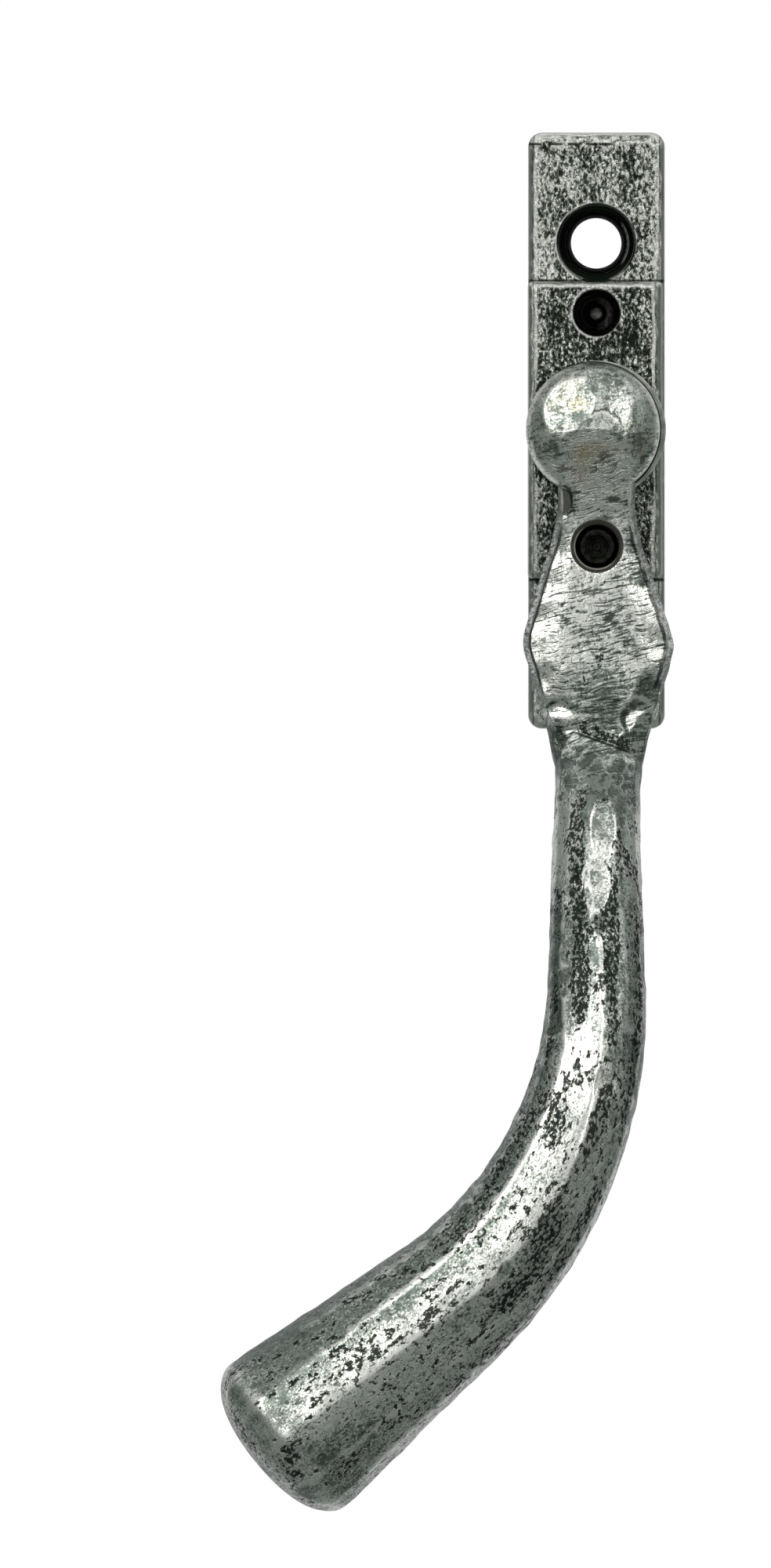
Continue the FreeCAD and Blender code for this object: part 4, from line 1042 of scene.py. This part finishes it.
# Painted shadow on the collar where it lies under the head.
shadow_under_head = radial(stem_x - head_x * MM, stem_z).step(0.00792, 0.00780) * stem_y.step(-0.01180, -0.01187)
turned_colour = turning_steel.layered(
    (0.20, 0.22, 0.20), (bright_rings, (0.52, 0.54, 0.51)), (shadow_under_head, (0.01, 0.012, 0.01)))
turning_steel.surface(Base_Color=turned_colour, Metallic=1.0, Roughness=0.30 + 0.15 * stem_stains,
                      Normal=turning_steel.relief(rings, 0.00001))

oxide = Finish(bpy.data.materials.new("black_oxide"))
spot = oxide.place()
screw_x, screw_z = oxide.split(spot)[::2]
screw_way = radial(screw_x, screw_z + lock_drop * MM)
facing_rings = oxide.noise(oxide.node("ShaderNodeCombineXYZ", {}, {0: screw_way}), 5000, 1.0, 0.5)
smudges = oxide.noise(spot, 1500, 3.0, 0.6)
grey_rings = (0.6 * facing_rings + 0.4 * smudges).step(0.42, 0.62)
screw_colour = oxide.blend(grey_rings, (0.003, 0.004, 0.003), (0.026, 0.028, 0.023))
oxide.surface(Base_Color=screw_colour, Metallic=1.0, Roughness=0.34 + 0.2 * smudges,
              Normal=oxide.relief(facing_rings + smudges, 0.00002))

acetal = Finish(bpy.data.materials.new("moulded_acetal"))
spot = acetal.place()
mould_grain = acetal.noise(spot, 5000, 2.0, 0.5)
mould_clouds = acetal.noise(spot, 350, 2.0, 0.5)
acetal_colour = acetal.blend(mould_clouds.step(0.35, 0.65), (0.030, 0.030, 0.031), (0.055, 0.055, 0.056))
acetal.surface(Base_Color=acetal_colour, Metallic=0.0, Roughness=0.40 + 0.1 * mould_grain,
               Normal=acetal.relief(mould_grain, 0.000008))

# Spindle, pin, washers and clip
# The square spindle is drawn and zinc plated with its drawing lines along it, and the
# washers, clip and roll pin are stamped or rolled from spring steel.
drawn = Finish(bpy.data.materials.new("drawn_zinc"))
spot = drawn.place()
drawing_lines = drawn.noise(drawn.stretched(spot, (1.0, 0.02, 1.0)), 5200, 2.0, 0.6)
zinc_clouds = drawn.noise(spot, 420, 3.0, 0.6)
pale_lines = (0.5 * drawing_lines + 0.5 * zinc_clouds).step(0.36, 0.64)
zinc_colour = drawn.blend(pale_lines, (0.52, 0.545, 0.56), (0.76, 0.775, 0.78))
drawn.surface(Base_Color=zinc_colour, Metallic=1.0, Roughness=0.28 + 0.16 * zinc_clouds,
              Normal=drawn.relief(drawing_lines, 0.000012))

spring = Finish(bpy.data.materials.new("spring_steel_blue"))
spot = spring.place()
rolling = spring.noise(spring.stretched(spot, (1.0, 1.0, 0.08)), 4200, 2.0, 0.6)
temper = spring.noise(spot, 500, 2.0, 0.5)
spring_colour = spring.blend(temper.step(0.35, 0.65), (0.20, 0.215, 0.24), (0.36, 0.355, 0.345))
spring.surface(Base_Color=spring_colour, Metallic=1.0, Roughness=0.26 + 0.2 * rolling,
               Normal=spring.relief(rolling, 0.000008))

steel_finishes = {
    "pivot_stem": turning_steel, "lock_screw": oxide, "pivot_bush": acetal, "spindle": drawn,
    "spindle_pin": spring, "wave_washer": spring, "stop_washer": spring, "retaining_clip": spring,
}
for node_name, finish in steel_finishes.items():
    for slot in nodes[node_name].material_slots:
        slot.material = finish.owner

# Lights and camera
# Two soft boxes, a large one up on the left and a smaller one on the right, and a long
# lens straight in front, so that the handle is seen square on.
light_distance, light_target = 1.2, np.array([-0.015, -0.02, -0.045])


def soft_box(name, azimuth, elevation, width, height, power):
    """A rectangular soft light that faces the handle from an azimuth and elevation."""
    light = bpy.data.lights.new(name, "AREA")
    light.shape = "RECTANGLE"
    light.color = (1.0, 0.975, 0.93)
    light.size, light.size_y, light.energy = width, height, power
    holder = bpy.data.objects.new(name, light)
    bpy.context.scene.collection.objects.link(holder)
    holder.location = way_to(azimuth, elevation) * light_distance + light_target
    holder.rotation_euler = (math.radians(90 - elevation), 0, math.radians(azimuth))
    holder.visible_camera = False


soft_box("left_box", -22, 23, 0.55, 0.70, 3.6)
soft_box("right_box", 27, 26, 0.36, 0.95, 2.6)

lens = bpy.data.cameras.new("camera")
lens.lens, lens.sensor_width, lens.clip_end = 780, 36, 100
camera = bpy.data.objects.new("camera", lens)
camera.location = (-0.02419, -3.901, -0.04055)
camera.rotation_euler = (math.radians(90), 0, 0)
bpy.context.scene.collection.objects.link(camera)
bpy.context.scene.camera = camera
bpy.context.scene.view_settings.view_transform = "Standard"
